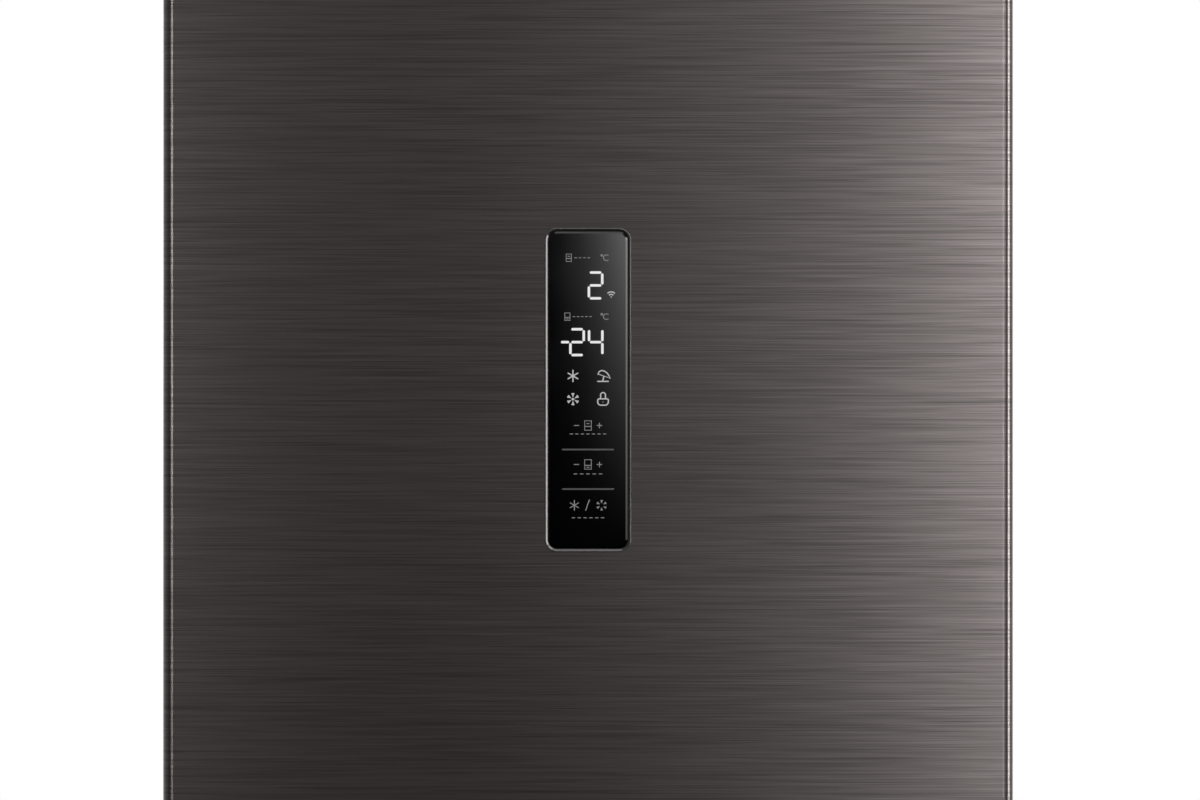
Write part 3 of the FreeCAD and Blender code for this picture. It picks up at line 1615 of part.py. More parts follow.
def refrigerant_pipes(shell):
    """Discharge and suction pipes, the charging stub, and the filter drier with its two pipes."""
    z = shell_z + pipe_height
    ceiling = bay_height
    left = compressor_x - shell_radius
    discharge_y = compressor_y - pipe_spacing
    suction_y = compressor_y + pipe_spacing
    discharge_x = left - pipe_clearance
    suction_x = left - pipe_clearance - pipe_spacing
    routes = [
        (discharge_radius, [Vector(compressor_x, discharge_y, z), Vector(discharge_x, discharge_y, z),
                            Vector(discharge_x, discharge_y, ceiling)]),
        (suction_radius, [Vector(compressor_x, suction_y, z), Vector(suction_x, suction_y, z),
                          Vector(suction_x, suction_y, ceiling)]),
    ]
    stub_y = compressor_y + shell_radius + stub_reach
    routes.append((stub_radius, [Vector(compressor_x, compressor_y, z), Vector(compressor_x, stub_y, z),
                                 Vector(compressor_x, stub_y, z + stub_rise)]))
    pipes = [tube(points, radius, pipe_bend).cut(shell) for radius, points in routes]
    drier_x = left - drier_offset
    drier_low = Vector(drier_x, compressor_y, drier_height)
    elbow = drier_low - Vector(0, 0, 2 * pipe_bend)
    wall_end = Vector(-panel_x, compressor_y, elbow.z)
    pipes.append(tube([drier_low, elbow, wall_end], drier_pipe_radius, pipe_bend))
    drier_top = Vector(drier_x, compressor_y, drier_height + drier_length)
    pipes.append(rod(drier_top, Vector(drier_x, compressor_y, ceiling), drier_pipe_radius))
    pipes.append(filter_drier(drier_x, compressor_y))
    return Part.makeCompound(pipes)


def fridge_door():
    """Pieces of the upper door by name."""
    z = (fridge_door_bottom, fridge_door_top)
    skin = door_skin(*z).cut(display_opening())
    grip = door_grip(*z)
    pocket = placed_display(display_block(0, 0, housing_depth))
    return {
        "fridge_door_skin": skin,
        "fridge_door_grip": grip,
        "fridge_door_foam": door_foam(*z, fridge_rim_x, fridge_rim_z, fridge_rim_height,
                                      [skin, grip, pocket]),
        "fridge_door_end_caps": door_end_caps(*z),
        "fridge_door_liner": fridge_door_liner(),
        "fridge_door_seal": door_seal(*z),
        "door_bins": door_bins(),
        "bottle_bin": bottle_bin(),
        "display_frame": display_frame(),
        "display_glass": display_glass(),
        "display_board": display_board(),
        "display_housing": display_housing(),
    }


def freezer_door():
    """Pieces of the lower door by name."""
    z = (freezer_door_bottom, freezer_door_top)
    skin = door_skin(*z)
    grip = door_grip(*z)
    return {
        "freezer_door_skin": skin,
        "freezer_door_grip": grip,
        "freezer_door_foam": door_foam(*z, freezer_rim_x, freezer_rim_z, freezer_rim_height, [skin, grip]),
        "freezer_door_end_caps": door_end_caps(*z),
        "freezer_door_liner": freezer_door_liner(),
        "freezer_door_seal": door_seal(*z),
    }


def cabinet():
    """Pieces of the cabinet and its fixed fittings by name."""
    fitted = {
        "side_panels": side_panels(),
        "top_panel": top_panel(),
        "bay_panel": bay_panel(),
        "base_plate": base_plate(),
        "mullion_rail": mullion_rail(),
    }
    shell = compressor()
    pieces = {
        "back_panel": back_panel(),
        "foam_core": foam_core(list(fitted.values())),
        "fridge_liner": fridge_liner(),
        "freezer_liner": freezer_liner(),
        "compressor_tray": compressor_tray(),
        "kick_plate": kick_plate(),
        "wall_spacers": wall_spacers(),
        "top_hinge": top_hinge(),
        "top_hinge_cover": top_hinge_cover(),
        "middle_hinge": middle_hinge(),
        "bottom_hinge": bottom_hinge(),
        "hinge_screws": hinge_screws(),
        "glass_shelves": glass_shelves(),
        "shelf_trims": shelf_trims(),
        "air_duct_panel": air_duct_panel(),
        "lamp_lens": lamp_lens(),
        "damper_frame": damper_frame(),
        "freezer_back_cover": freezer_back_cover(),
        "fan_motor": fan_motor(),
        "evaporator": Part.makeCompound([evaporator(), defrost_heater()]),
        "compressor": shell,
        "compressor_grommets": compressor_grommets(),
        "terminal_cover": terminal_cover(shell),
        "evaporation_dish": evaporation_dish(),
        "refrigerant_pipes": refrigerant_pipes(shell),
    }
    return {**fitted, **pieces}


def moving_fittings():
    """Pieces that move on their own by name."""
    pieces = {
        "front_foot_left": front_foot(-foot_x()),
        "front_foot_right": front_foot(foot_x()),
        "rear_roller_left": rear_roller(-1),
        "rear_roller_right": rear_roller(1),
        "vegetable_drawer": vegetable_drawer(),
        "humidity_slider": humidity_slider(),
        "chill_drawer": chill_drawer(),
        "evaporator_fan": evaporator_fan(),
        "damper_flap": damper_flap(),
    }
    for index in range(len(freezer_drawer_rooms)):
        pieces[f"freezer_drawer_{index + 1}"] = freezer_drawer(index)
    return pieces


def main():
    os.makedirs("parts", exist_ok=True)
    for name, shape in {**cabinet(), **moving_fittings(), **fridge_door(), **freezer_door()}.items():
        shape.exportStep(f"parts/{name}.step")


if __name__ == "__main__":
    main()
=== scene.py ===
import bmesh
import bpy
import json
import math
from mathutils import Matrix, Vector


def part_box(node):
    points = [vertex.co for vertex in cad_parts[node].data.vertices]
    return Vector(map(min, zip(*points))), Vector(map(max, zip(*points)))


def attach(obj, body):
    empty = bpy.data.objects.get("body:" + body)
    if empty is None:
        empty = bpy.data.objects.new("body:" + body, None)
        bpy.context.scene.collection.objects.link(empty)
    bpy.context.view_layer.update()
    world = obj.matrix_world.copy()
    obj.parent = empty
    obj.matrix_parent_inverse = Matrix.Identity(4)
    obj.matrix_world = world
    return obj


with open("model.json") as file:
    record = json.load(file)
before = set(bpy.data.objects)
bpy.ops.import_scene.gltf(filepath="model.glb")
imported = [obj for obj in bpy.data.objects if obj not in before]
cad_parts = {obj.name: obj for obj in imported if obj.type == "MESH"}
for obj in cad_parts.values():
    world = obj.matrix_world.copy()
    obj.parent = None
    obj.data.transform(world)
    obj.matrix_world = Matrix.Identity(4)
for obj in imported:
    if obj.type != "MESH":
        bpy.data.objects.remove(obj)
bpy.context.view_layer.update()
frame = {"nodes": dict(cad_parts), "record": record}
nodes = frame["nodes"]
MM = 0.001
FULL_TURN = 2 * math.pi

# Photograph: a level close view of the display on the upper door
VIEW_WIDTH = 837 * MM
VIEW_SHIFT_X = 8.4 * MM
VIEW_SHIFT_Z = -7 * MM
LENS = 85
SENSOR = 36
VIEW_REACH = 100

# The range that holds nearly all values of a noise
NOISE_LOW = 0.3
NOISE_HIGH = 0.7

# Brushed steel: lengths and widths of its streaks in millimetres, and how much each kind counts
FINE_STREAK = (75, 75, 0.68)
BROAD_STREAK = (170, 170, 2.6)
SCORE_STREAK = (120, 120, 0.75)
BROAD_SHARE = 0.4
SCORE_START = 0.60
SCORE_FULL = 0.74
SCORE_DEPTH = 0.14

# Width of a crystal on zinc, in millimetres
CRYSTAL = 4

# Screws of the back: sizes in millimetres, a share of the head, and counts
FLANGE_RADIUS = 5.0
FLANGE_HEIGHT = 0.9
FLANGE_SIDES = 24
HEX_RADIUS = 4.0
HEX_HEIGHT = 2.6
HEX_SIDES = 6
CROWN_SHARE = 0.8
SCREW_MARGIN = 9.0
TRAY_SCREW_DROP = 20.0
SIDE_SCREWS = 8
ROW_SCREWS = 4

# Rubber line in the slit round the display frame, in millimetres
GASKET_WIDTH = 0.18
GASKET_THICKNESS = 0.3
GASKET_DEPTH = 0.6
GASKET_OFFSET = 0.1
FRAME_CORNER = 8.5
CORNER_STEPS = 8

# Strokes of the signs: widths, thickness and lift in millimetres, and how finely a stroke is drawn
DIGIT_STROKE = 1.75
ICON_STROKE = 0.85
HUB_STROKE = 1.8
LABEL_STROKE = 0.6
DIVIDER_STROKE = 1.1
SIGN_SHEET = 0.06
SIGN_LIFT = 0.01
STROKE_SIDES = 12
BALL_RINGS = 8

# Figures of the display; here and below a spot is in millimetres from the middle of the display
DIGIT_WIDTH = 9.3
DIGIT_HEIGHT = 18.0
SEGMENT_INSET = 1.5
FRIDGE_DIGIT = (5.3, 73.0)
FREEZER_TENS = (-7.6, 33.4)
FREEZER_UNITS = (5.4, 33.4)
MINUS = (-16.0, 33.4)
MINUS_HALF = 2.0

# Marks of the running modes, and of the wireless link
ICON_COLUMN = 10.5
ICON_ROWS = (9.8, -6.4)
ICON_FLAKE = 3.9
ICON_PETALS = 4.1
HUB_HALF = 0.1
WAVES = (16.2, 64.9)
KEYHOLE_ROW = -8.4
KEYHOLE_HALF = 0.2

# Labels of the two rooms: row, column of the mark, reach and number of the dashes, whether the upper room is meant
ROOM_LABELS = ((92.3, -13.4, 4.6, 4, True), (51.2, -14.4, 5.8, 5, False))
ROOM_MARK = (3.6, 5.2)
ROOM_DASHES = -4.0
DEGREE_COLUMN = 11.8

# Touch keys: rows of the room keys, the mode key, and row, reach and number of the dashes under each key
ROOM_KEYS = ((-24.8, True), (-52.0, False))
KEY_MARK = (4.6, 6.6)
KEY_SIGN = 8.0
KEY_SIGN_HALF = 1.6
MODE_ROW = -80.5
MODE_COLUMN = 9.5
MODE_FLAKE = 3.4
MODE_PETALS = 3.6
MODE_SLASH = [(-1.6, -84.0), (1.0, -76.6)]
KEY_DASHES = ((-30.7, 11.6, 7), (-58.6, 8.8, 5), (-89.2, 10.2, 6))
DIVIDER_ROWS = (-41.6, -69.2)
DIVIDER_HALF = 17.6

# Shares of a sign's own size, and the number, half angle in radians and steps of a flake's petals
FLAKE_ARMS = 6
PETAL_ROOT = 0.5
PETAL_TIP = 0.93
PETAL_SPREAD = 0.18
PETAL_STEPS = 4
SPLIT_SHARE = -0.1
DASH_SHARE = 0.22

# Studio lamps, with places, aims and sizes in metres. The radiance is how bright a lamp looks in a mirror. The fade
# holds the powers by which it dies away to the left and downwards, as the display mirrors it.
LAMPS = (
    # right half of the door
    {"name": "key", "place": (1.45, -4.8, 1.9), "aim": (0.3, 0, 1.5),
     "width": 0.4, "height": 3.2, "radiance": 19.3},
    # left half of the door
    {"name": "fill", "place": (-1.85, -4.4, 1.8), "aim": (-0.2, 0, 1.6),
     "width": 0.45, "height": 1.7, "radiance": 15.0},
    # sheen on the display glass
    {"name": "card", "place": (-0.01, -4.5, 1.45), "aim": (-0.01, 0, 1.45),
     "width": 0.3, "height": 0.9, "radiance": 12.0, "fade": (3.6, 2.3)},
    # right edge of the display
    {"name": "edge_right", "place": (2.55, -4.3, 1.9), "aim": (0, -0.4, 1.4),
     "width": 0.5, "height": 2.4, "radiance": 14.0, "fade": (0.0, 1.2)},
    # upper edge of the display
    {"name": "edge_top", "place": (0.6, -3.9, 3.75), "aim": (0, -0.4, 1.4),
     "width": 2.6, "height": 0.5, "radiance": 1.45},
    # left edge of the display, and the right side of the cabinet
    {"name": "side", "place": (2.5, -0.95, 1.5), "aim": (0, -0.4, 1.5),
     "width": 0.45, "height": 2.2, "radiance": 16.0},
    # lower left corner of the display
    {"name": "corner", "place": (2.1, -0.9, 3.6), "aim": (0, -0.4, 1.5),
     "width": 0.8, "height": 1.6, "radiance": 6.0},
    # top of the cabinet and the floor
    {"name": "top", "place": (0.3, -0.8, 4.2), "aim": (0.3, -0.8, 0),
     "width": 2.4, "height": 1.2, "radiance": 2.1},
    # back of the cabinet
    {"name": "rear", "place": (-1.8, 4.0, 2.4), "aim": (0, 0, 1.0),
     "width": 2.4, "height": 2.0, "radiance": 1.6},
)

# Room round the part: its light on dull surfaces, and the level and slope of what shiny ones mirror
ROOM_LIGHT = 0.42
ROOM_LEVEL = 0.5
ROOM_SLOPE = (0.0, 0.55, 0.25)

# Floor, in metres
FLOOR_REACH = 3.4
FADE_START = 1.0
FLOOR_SIDES = 96


def linear(code):
    """Linear colour of an sRGB hex code."""
    parts = [int(code[i:i + 2], 16) / 255 for i in (1, 3, 5)]
    return [c / 12.92 if c <= 0.04045 else ((c + 0.055) / 1.055) ** 2.4 for c in parts] + [1.0]


def add(tree, kind, inputs=None, **settings):
    """Adds a node with its settings, and gives each input a value or a link."""
    made = tree.nodes.new(kind)
    for name, value in settings.items():
        setattr(made, name, value)
    for key, value in (inputs or {}).items():
        if isinstance(value, bpy.types.NodeSocket):
            tree.links.new(value, made.inputs[key])
        else:
            made.inputs[key].default_value = value
    return made


def calc(tree, operation, *values, **settings):
    """The result of one calculation on values or sockets."""
    return add(tree, "ShaderNodeMath", dict(enumerate(values)), operation=operation, **settings).outputs[0]


def finish(name):
    """A new material with its shader, and the place on the piece that its patterns read."""
    made = bpy.data.materials.new(name)
    made.use_nodes = True
    tree = made.node_tree
    tree.nodes.clear()
    shader = add(tree, "ShaderNodeBsdfPrincipled")
    add(tree, "ShaderNodeOutputMaterial", {"Surface": shader.outputs["BSDF"]})
    place = add(tree, "ShaderNodeTexCoord").outputs["Object"]
    return made, tree, shader, place


def speckle(tree, place, size, detail):
    """Soft noise from 0 to 1 whose blots are size millimetres wide along x, y and z."""
    scaled = add(tree, "ShaderNodeMapping", {"Vector": place, "Scale": [1 / (s * MM) for s in size]})
    noise = add(tree, "ShaderNodeTexNoise", {
        "Vector": scaled.outputs["Vector"], "Scale": 1.0, "Detail": detail})
    return noise.outputs["Fac"]


def spread(tree, value, low, high):
    """A noise stretched to run from low to high."""
    stretched = add(tree, "ShaderNodeMapRange", {
        "Value": value, "From Min": NOISE_LOW, "From Max": NOISE_HIGH, "To Min": low, "To Max": high})
    return stretched.outputs["Result"]


def blend(tree, value, dark, light):
    """A colour between two hex codes, set by a noise."""
    mix = add(tree, "ShaderNodeMix", {
        0: spread(tree, value, 0.0, 1.0), 6: linear(dark), 7: linear(light)}, data_type="RGBA")
    return mix.outputs[2]


def dent(tree, shader, value, depth, strength):
    """Bump of a depth in millimetres on a shader."""
    bump = add(tree, "ShaderNodeBump", {"Height": value, "Strength": strength, "Distance": depth * MM})
    tree.links.new(bump.outputs["Normal"], shader.inputs["Normal"])


def link(tree, shader, **sockets):
    """Links values to a shader's inputs, named with underscores for spaces."""
    for name, value in sockets.items():
        tree.links.new(value, shader.inputs[name.replace("_", " ")])


def settle(shader, **sockets):
    """Sets constants on a shader's inputs, named with underscores for spaces."""
    for name, value in sockets.items():
        shader.inputs[name.replace("_", " ")].default_value = value


def grained(name, size, detail, colours=None, roughness=None, relief=None, **constants):
    """A material with one noise, which can set its colour between two hex codes, its roughness between two values,
    and a relief of a depth in millimetres and a strength."""
    made, tree, shader, place = finish(name)
    noise = speckle(tree, place, size, detail)
    if colours:
        link(tree, shader, Base_Color=blend(tree, noise, *colours))
    if roughness:
        link(tree, shader, Roughness=spread(tree, noise, *roughness))
    if relief:
        dent(tree, shader, noise, *relief)
    settle(shader, **constants)
    return made


def brushed_black_steel():
    """Stainless sheet under a dark film, brushed across the door: light that spreads up and down over the grain,
    soft streaks and a few long dark scores. A hairline is finer than a pixel, so the streaks are the bundles of
    hairlines that the eye makes out."""
    made, tree, shader, place = finish("brushed_black_steel")
    fine = speckle(tree, place, FINE_STREAK, 3.0)
    broad = speckle(tree, place, BROAD_STREAK, 2.0)
    score = speckle(tree, place, SCORE_STREAK, 1.0)
    deep = add(tree, "ShaderNodeMapRange", {
        "Value": score, "From Min": SCORE_START, "From Max": SCORE_FULL, "To Max": SCORE_DEPTH})
    both = calc(tree, "MULTIPLY_ADD", broad, BROAD_SHARE, fine)
    even = calc(tree, "DIVIDE", both, 1 + BROAD_SHARE)
    grain = calc(tree, "SUBTRACT", even, deep.outputs["Result"])
    around = add(tree, "ShaderNodeTangent", direction_type="RADIAL", axis="Z")
    link(tree, shader, Base_Color=blend(tree, grain, "#4A4645", "#706A69"),
         Roughness=spread(tree, grain, 0.345, 0.315), Tangent=around.outputs["Tangent"])
    settle(shader, Metallic=1.0, Anisotropic=0.6, Anisotropic_Rotation=0.25)
    dent(tree, shader, grain, 0.03, 0.4)
    return made


def satin_aluminium():
    """Extruded aluminium trim, bead blasted and anodised: an even soft shine with faint drawing lines."""
    return grained("satin_aluminium", (0.5, 0.5, 40), 2.0, ("#696766", "#6D6B6A"), (0.22, 0.25), Metallic=1.0)


def black_display_glass():
    """Float glass printed black on its back: deep black with a clear shine and a trace of haze."""
    return grained("black_display_glass", (25, 25, 60), 3.0, roughness=(0.05, 0.08),
                   Base_Color=linear("#010101"), IOR=1.5)


def powder_coated_steel():
    """Steel sheet in dark grey powder coat: satin, with a fine orange peel."""
    made, tree, shader, place = finish("powder_coated_steel")
    peel = speckle(tree, place, (1.6, 1.6, 1.6), 1.0)
    cloud = speckle(tree, place, (240, 240, 240), 2.0)
    link(tree, shader, Base_Color=blend(tree, cloud, "#575452", "#5C5957"),
         Roughness=spread(tree, peel, 0.40, 0.48))
    dent(tree, shader, peel, 0.05, 0.35)
    return made


def galvanised_steel():
    """Hot-dip zinc on steel sheet: grey crystals a few millimetres wide, each with its own shine."""
    made, tree, shader, place = finish("galvanised_steel")
    scaled = add(tree, "ShaderNodeMapping", {"Vector": place, "Scale": [1 / (CRYSTAL * MM)] * 3})
    crystals = add(tree, "ShaderNodeTexVoronoi", {"Vector": scaled.outputs["Vector"], "Scale": 1.0})
    shade = add(tree, "ShaderNodeSeparateColor", {"Color": crystals.outputs["Color"]}).outputs["Red"]
    link(tree, shader, Base_Color=blend(tree, shade, "#A3A6A8", "#ABAEB0"),
         Roughness=spread(tree, shade, 0.44, 0.39))
    settle(shader, Metallic=0.85)
    return made


def satin_grey_paint():
    """Stove enamel on the rail between the rooms: smooth light grey."""
    return grained("satin_grey_paint", (3, 3, 3), 1.0, ("#B5B4B2", "#BAB9B7"), (0.38, 0.44), (0.03, 0.3))


def grained_black_abs():
    """Injection moulded ABS with a spark-eroded grain: dull near black."""
    return grained("grained_black_abs", (0.9, 0.9, 0.9), 2.0, ("#2A2928", "#312F2E"), (0.50, 0.62), (0.06, 0.5))


def white_polystyrene():
    """Vacuum formed polystyrene: clean white with a soft gloss and the faint orange peel of a drawn sheet."""
    return grained("white_polystyrene", (5, 5, 5), 1.0, roughness=(0.28, 0.32), relief=(0.02, 0.2),
                   Base_Color=linear("#EFF1F1"), Subsurface_Weight=0.04, Subsurface_Scale=0.004)


def grey_seal_vinyl():
    """Extruded soft vinyl with a magnet inside: matt mid grey with a slightly uneven skin."""
    return grained("grey_seal_vinyl", (1.2, 1.2, 1.2), 2.0, ("#8C8C8B", "#949493"), (0.58, 0.68), (0.08, 0.4))


def polyurethane_foam():
    """Rigid foam blown in place: pale straw with cells about a millimetre wide."""
    return grained("polyurethane_foam", (1.4, 1.4, 1.4), 2.0, ("#D9C78C", "#E8DAA8"), relief=(0.5, 0.6),
                   Roughness=0.9)


def clear_polystyrene():
    """Clear moulded crystal polystyrene: see-through with a cool tint and flow ripples."""
    return grained("clear_polystyrene", (60, 60, 60), 1.0, roughness=(0.05, 0.10), relief=(0.15, 0.3),
                   Base_Color=linear("#EDF4F6"), IOR=1.5, Transmission_Weight=0.85)


def frosted_polypropylene():
    """Moulded polypropylene for the cold room: milky and half clear, with a fine texture."""
    return grained("frosted_polypropylene", (1.1, 1.1, 1.1), 2.0, ("#DCE9EE", "#E7F1F4"), (0.30, 0.42),
                   (0.04, 0.4), IOR=1.49, Transmission_Weight=0.55)


def toughened_glass():
    """Toughened shelf glass: clear, with the green tint of iron."""
    return grained("toughened_glass", (120, 120, 120), 1.0, roughness=(0.02, 0.05),
                   Base_Color=linear("#DDF0E8"), IOR=1.52, Transmission_Weight=0.95)


def silver_painted_abs():
    """Moulded trim sprayed silver: fine metal flakes in a satin lacquer."""
    return grained("silver_painted_abs", (0.5, 0.5, 0.5), 1.0, ("#A9ABAD", "#BEC0C1"), (0.28, 0.40),
                   Metallic=0.7)


def painted_hinge_steel():
    """Pressed steel plate under thin black paint: satin, a little uneven."""
    return grained("painted_hinge_steel", (5, 5, 5), 3.0, ("#3A3938", "#454443"), (0.34, 0.48), (0.05, 0.3))


def zinc_plate():
    """Passivated zinc on screws: bright, with a thin straw and blue bloom."""
    return grained("zinc_plate", (4, 4, 4), 2.0, ("#B9B7A6", "#C3C8CF"), (0.22, 0.34), Metallic=1.0)


def black_enamel():
    """Thick gloss enamel baked on the compressor: deep black with a slow ripple."""
    return grained("black_enamel", (9, 9, 9), 1.0, roughness=(0.16, 0.26), relief=(0.12, 0.3),
                   Base_Color=linear("#171717"), Coat_Weight=0.4)


def grained_grey_pp():
    """Moulded polypropylene in the machine bay: dull dark grey."""
    return grained("grained_grey_pp", (1.2, 1.2, 1.2), 2.0, ("#3B3B3B", "#444443"), (0.48, 0.60), (0.06, 0.5))


def black_rubber():
    """Moulded rubber: matt black with a dusty bloom."""
    return grained("black_rubber", (6, 6, 6), 3.0, ("#1C1C1C", "#2A2A29"), (0.70, 0.85))


def drawn_copper():
    """Drawn copper tube: warm metal, dulled in patches where it was brazed."""
    return grained("drawn_copper", (14, 14, 14), 3.0, ("#A5694A", "#D08C68"), (0.42, 0.24), Metallic=1.0)


def mill_aluminium():
    """Rolled aluminium fins and tube as they leave the mill: pale grey with a low shine."""
    return grained("mill_aluminium", (2, 2, 25), 2.0, ("#C3C6C8", "#D6D8D9"), (0.30, 0.42), Metallic=1.0)


def grained_fan_abs():
    """Glass-filled moulding of the fan and damper: dull charcoal."""
    return grained("grained_fan_abs", (0.8, 0.8, 3), 2.0, ("#414244", "#4B4C4E"), (0.45, 0.58))


def opal_acrylic():
    """Opal acrylic over the lamp: white, softly lit from inside."""
    return grained("opal_acrylic", (70, 70, 70), 1.0, roughness=(0.20, 0.28), Base_Color=linear("#F6F5F0"),
                   Emission_Color=linear("#FFF8EA"), Emission_Strength=0.6)


def circuit_board():
    """Epoxy board under dark green resist: satin, finely mottled by the weave below."""
    return grained("circuit_board", (0.9, 0.9, 0.9), 1.0, ("#14301F", "#1B3B27"), (0.36, 0.46))


def moulded_nylon():
    """Moulded black nylon of feet and rollers: satin, with scuffs."""
    return grained("moulded_nylon", (3, 3, 3), 3.0, ("#242424", "#302F2F"), (0.40, 0.56), (0.06, 0.4))


def lit_sign(name, tint, strength):
    """Light that shines through a cut-out in the print of the glass: even, under the gloss of the glass."""
    return grained(name, (6, 6, 6), 1.0, roughness=(0.18, 0.24), Base_Color=linear("#202020"),
                   Emission_Color=linear(tint), Emission_Strength=strength)


SLOT_FINISHES = {
    "door_steel": brushed_black_steel,
    "display_frame_metal": satin_aluminium,
    "display_glass_black": black_display_glass,
    "cabinet_paint": powder_coated_steel,
    "zinc_steel": galvanised_steel,
    "mullion_paint": satin_grey_paint,
    "dark_plastic": grained_black_abs,
    "liner_white": white_polystyrene,
    "seal_grey": grey_seal_vinyl,
    "foam": polyurethane_foam,
    "clear_plastic": clear_polystyrene,
    "frosted_plastic": frosted_polypropylene,
    "shelf_glass": toughened_glass,
    "trim_silver": silver_painted_abs,
    "hinge_steel": painted_hinge_steel,
    "screw_zinc": zinc_plate,
    "compressor_black": black_enamel,
    "bay_plastic": grained_grey_pp,
    "rubber_black": black_rubber,
    "copper_pipe": drawn_copper,
    "evaporator_metal": mill_aluminium,
    "fan_plastic": grained_fan_abs,
    "lamp_plastic": opal_acrylic,
    "board_dark": circuit_board,
    "foot_plastic": moulded_nylon,
}


def dress_nodes():
    """Gives each solid the finish of its slot, and returns the finishes by slot."""
    made = {}
    for item in frame["record"]["subparts"]:
        slot = item["material_slot"]
        if slot not in made:
            made[slot] = SLOT_FINISHES[slot]()
        mesh = nodes[item["node"]].data
        mesh.materials.clear()
        mesh.materials.append(made[slot])
    return made


def open_group(name, numbers):
    """A new geometry tree that takes a geometry, some numbers and a material, with the sockets that give them."""
    tree = bpy.data.node_groups.new(name, "GeometryNodeTree")
    ports = tree.interface
    ports.new_socket("Geometry", in_out="INPUT", socket_type="NodeSocketGeometry")
    for number in numbers:
        ports.new_socket(number, in_out="INPUT", socket_type="NodeSocketFloat")
    ports.new_socket("Material", in_out="INPUT", socket_type="NodeSocketMaterial")
    ports.new_socket("Geometry", in_out="OUTPUT", socket_type="NodeSocketGeometry")
    return tree, add(tree, "NodeGroupInput").outputs


def close_group(tree, geometry, material):
    """Ends a geometry tree: its instances become real and take the material."""
    real = add(tree, "GeometryNodeRealizeInstances", {"Geometry": geometry})
    dressed = add(tree, "GeometryNodeSetMaterial", {
        "Geometry": real.outputs["Geometry"], "Material": material})
    add(tree, "NodeGroupOutput", {"Geometry": dressed.outputs["Geometry"]})


def join(tree, parts):
    """Several geometries as one."""
    both = add(tree, "GeometryNodeJoinGeometry")
    for part in parts:
        tree.links.new(part, both.inputs["Geometry"])
    return both.outputs["Geometry"]


def stroke_tree():
    """Node tree that turns lines into flat rounded strokes standing on a plane."""
    tree, given = open_group("rounded_strokes", ("Stroke", "Flatness", "Front"))
    radius = calc(tree, "MULTIPLY", given["Stroke"], 0.5)
    circle = add(tree, "GeometryNodeCurvePrimitiveCircle", {"Resolution": STROKE_SIDES, "Radius": radius})
    line = add(tree, "GeometryNodeMeshToCurve", {"Mesh": given["Geometry"]})
    bar = add(tree, "GeometryNodeCurveToMesh", {
        "Curve": line.outputs["Curve"], "Profile Curve": circle.outputs["Curve"]})
    ball = add(tree, "GeometryNodeMeshUVSphere", {
        "Segments": STROKE_SIDES, "Rings": BALL_RINGS, "Radius": radius})
    ends = add(tree, "GeometryNodeInstanceOnPoints", {
        "Points": given["Geometry"], "Instance": ball.outputs["Mesh"]})
    scale = add(tree, "ShaderNodeCombineXYZ", {"X": 1.0, "Y": given["Flatness"], "Z": 1.0})
    shift = add(tree, "ShaderNodeCombineXYZ", {"Y": given["Front"]})
    flat = add(tree, "GeometryNodeTransform", {
        "Geometry": join(tree, (bar.outputs["Mesh"], ends.outputs["Instances"])),
        "Scale": scale.outputs["Vector"], "Translation": shift.outputs["Vector"]})
    close_group(tree, flat.outputs["Geometry"], given["Material"])
    return tree


def screw_tree():
    """Node tree that sets a hexagon screw with a washer flange on each point, facing the back."""
    tree, given = open_group("flange_screws", ("Flange Radius", "Flange Height", "Hex Radius", "Hex Height"))
    crown = calc(tree, "MULTIPLY", given["Hex Radius"], CROWN_SHARE)
    raised = calc(tree, "ADD", given["Hex Height"], given["Flange Height"])
    layers = (
        (FLANGE_SIDES, given["Flange Radius"], given["Hex Radius"], given["Flange Height"], 0.0),
        (HEX_SIDES, given["Hex Radius"], given["Hex Radius"], given["Hex Height"], given["Flange Height"]),
        (HEX_SIDES, given["Hex Radius"], crown, given["Flange Height"], raised),
    )
    parts = []
    for sides, bottom, top, height, level in layers:
        cone = add(tree, "GeometryNodeMeshCone", {
            "Vertices": sides, "Radius Bottom": bottom, "Radius Top": top, "Depth": height})
        lift = add(tree, "ShaderNodeCombineXYZ", {"Z": level})
        moved = add(tree, "GeometryNodeTransform", {
            "Geometry": cone.outputs["Mesh"], "Translation": lift.outputs["Vector"]})
        parts.append(moved.outputs["Geometry"])
    placed = add(tree, "GeometryNodeInstanceOnPoints", {
        "Points": given["Geometry"], "Instance": join(tree, parts), "Rotation": (-math.pi / 2, 0, 0)})
    close_group(tree, placed.outputs["Instances"], given["Material"])
    return tree


def grown(name, source, tree, values):
    """A plain mesh object made by a node tree from a source mesh."""
    holder = bpy.data.objects.new(name, source)
    bpy.context.scene.collection.objects.link(holder)
    modifier = holder.modifiers.new(tree.name, "NODES")
    modifier.node_group = tree
    for port in tree.interface.items_tree:
        if port.in_out == "INPUT" and port.name in values:
            modifier[port.identifier] = values[port.name]
    graph = bpy.context.evaluated_depsgraph_get()
    mesh = bpy.data.meshes.new_from_object(holder.evaluated_get(graph))
    mesh.name = name
    holder.modifiers.remove(modifier)
    holder.data = mesh
    return holder


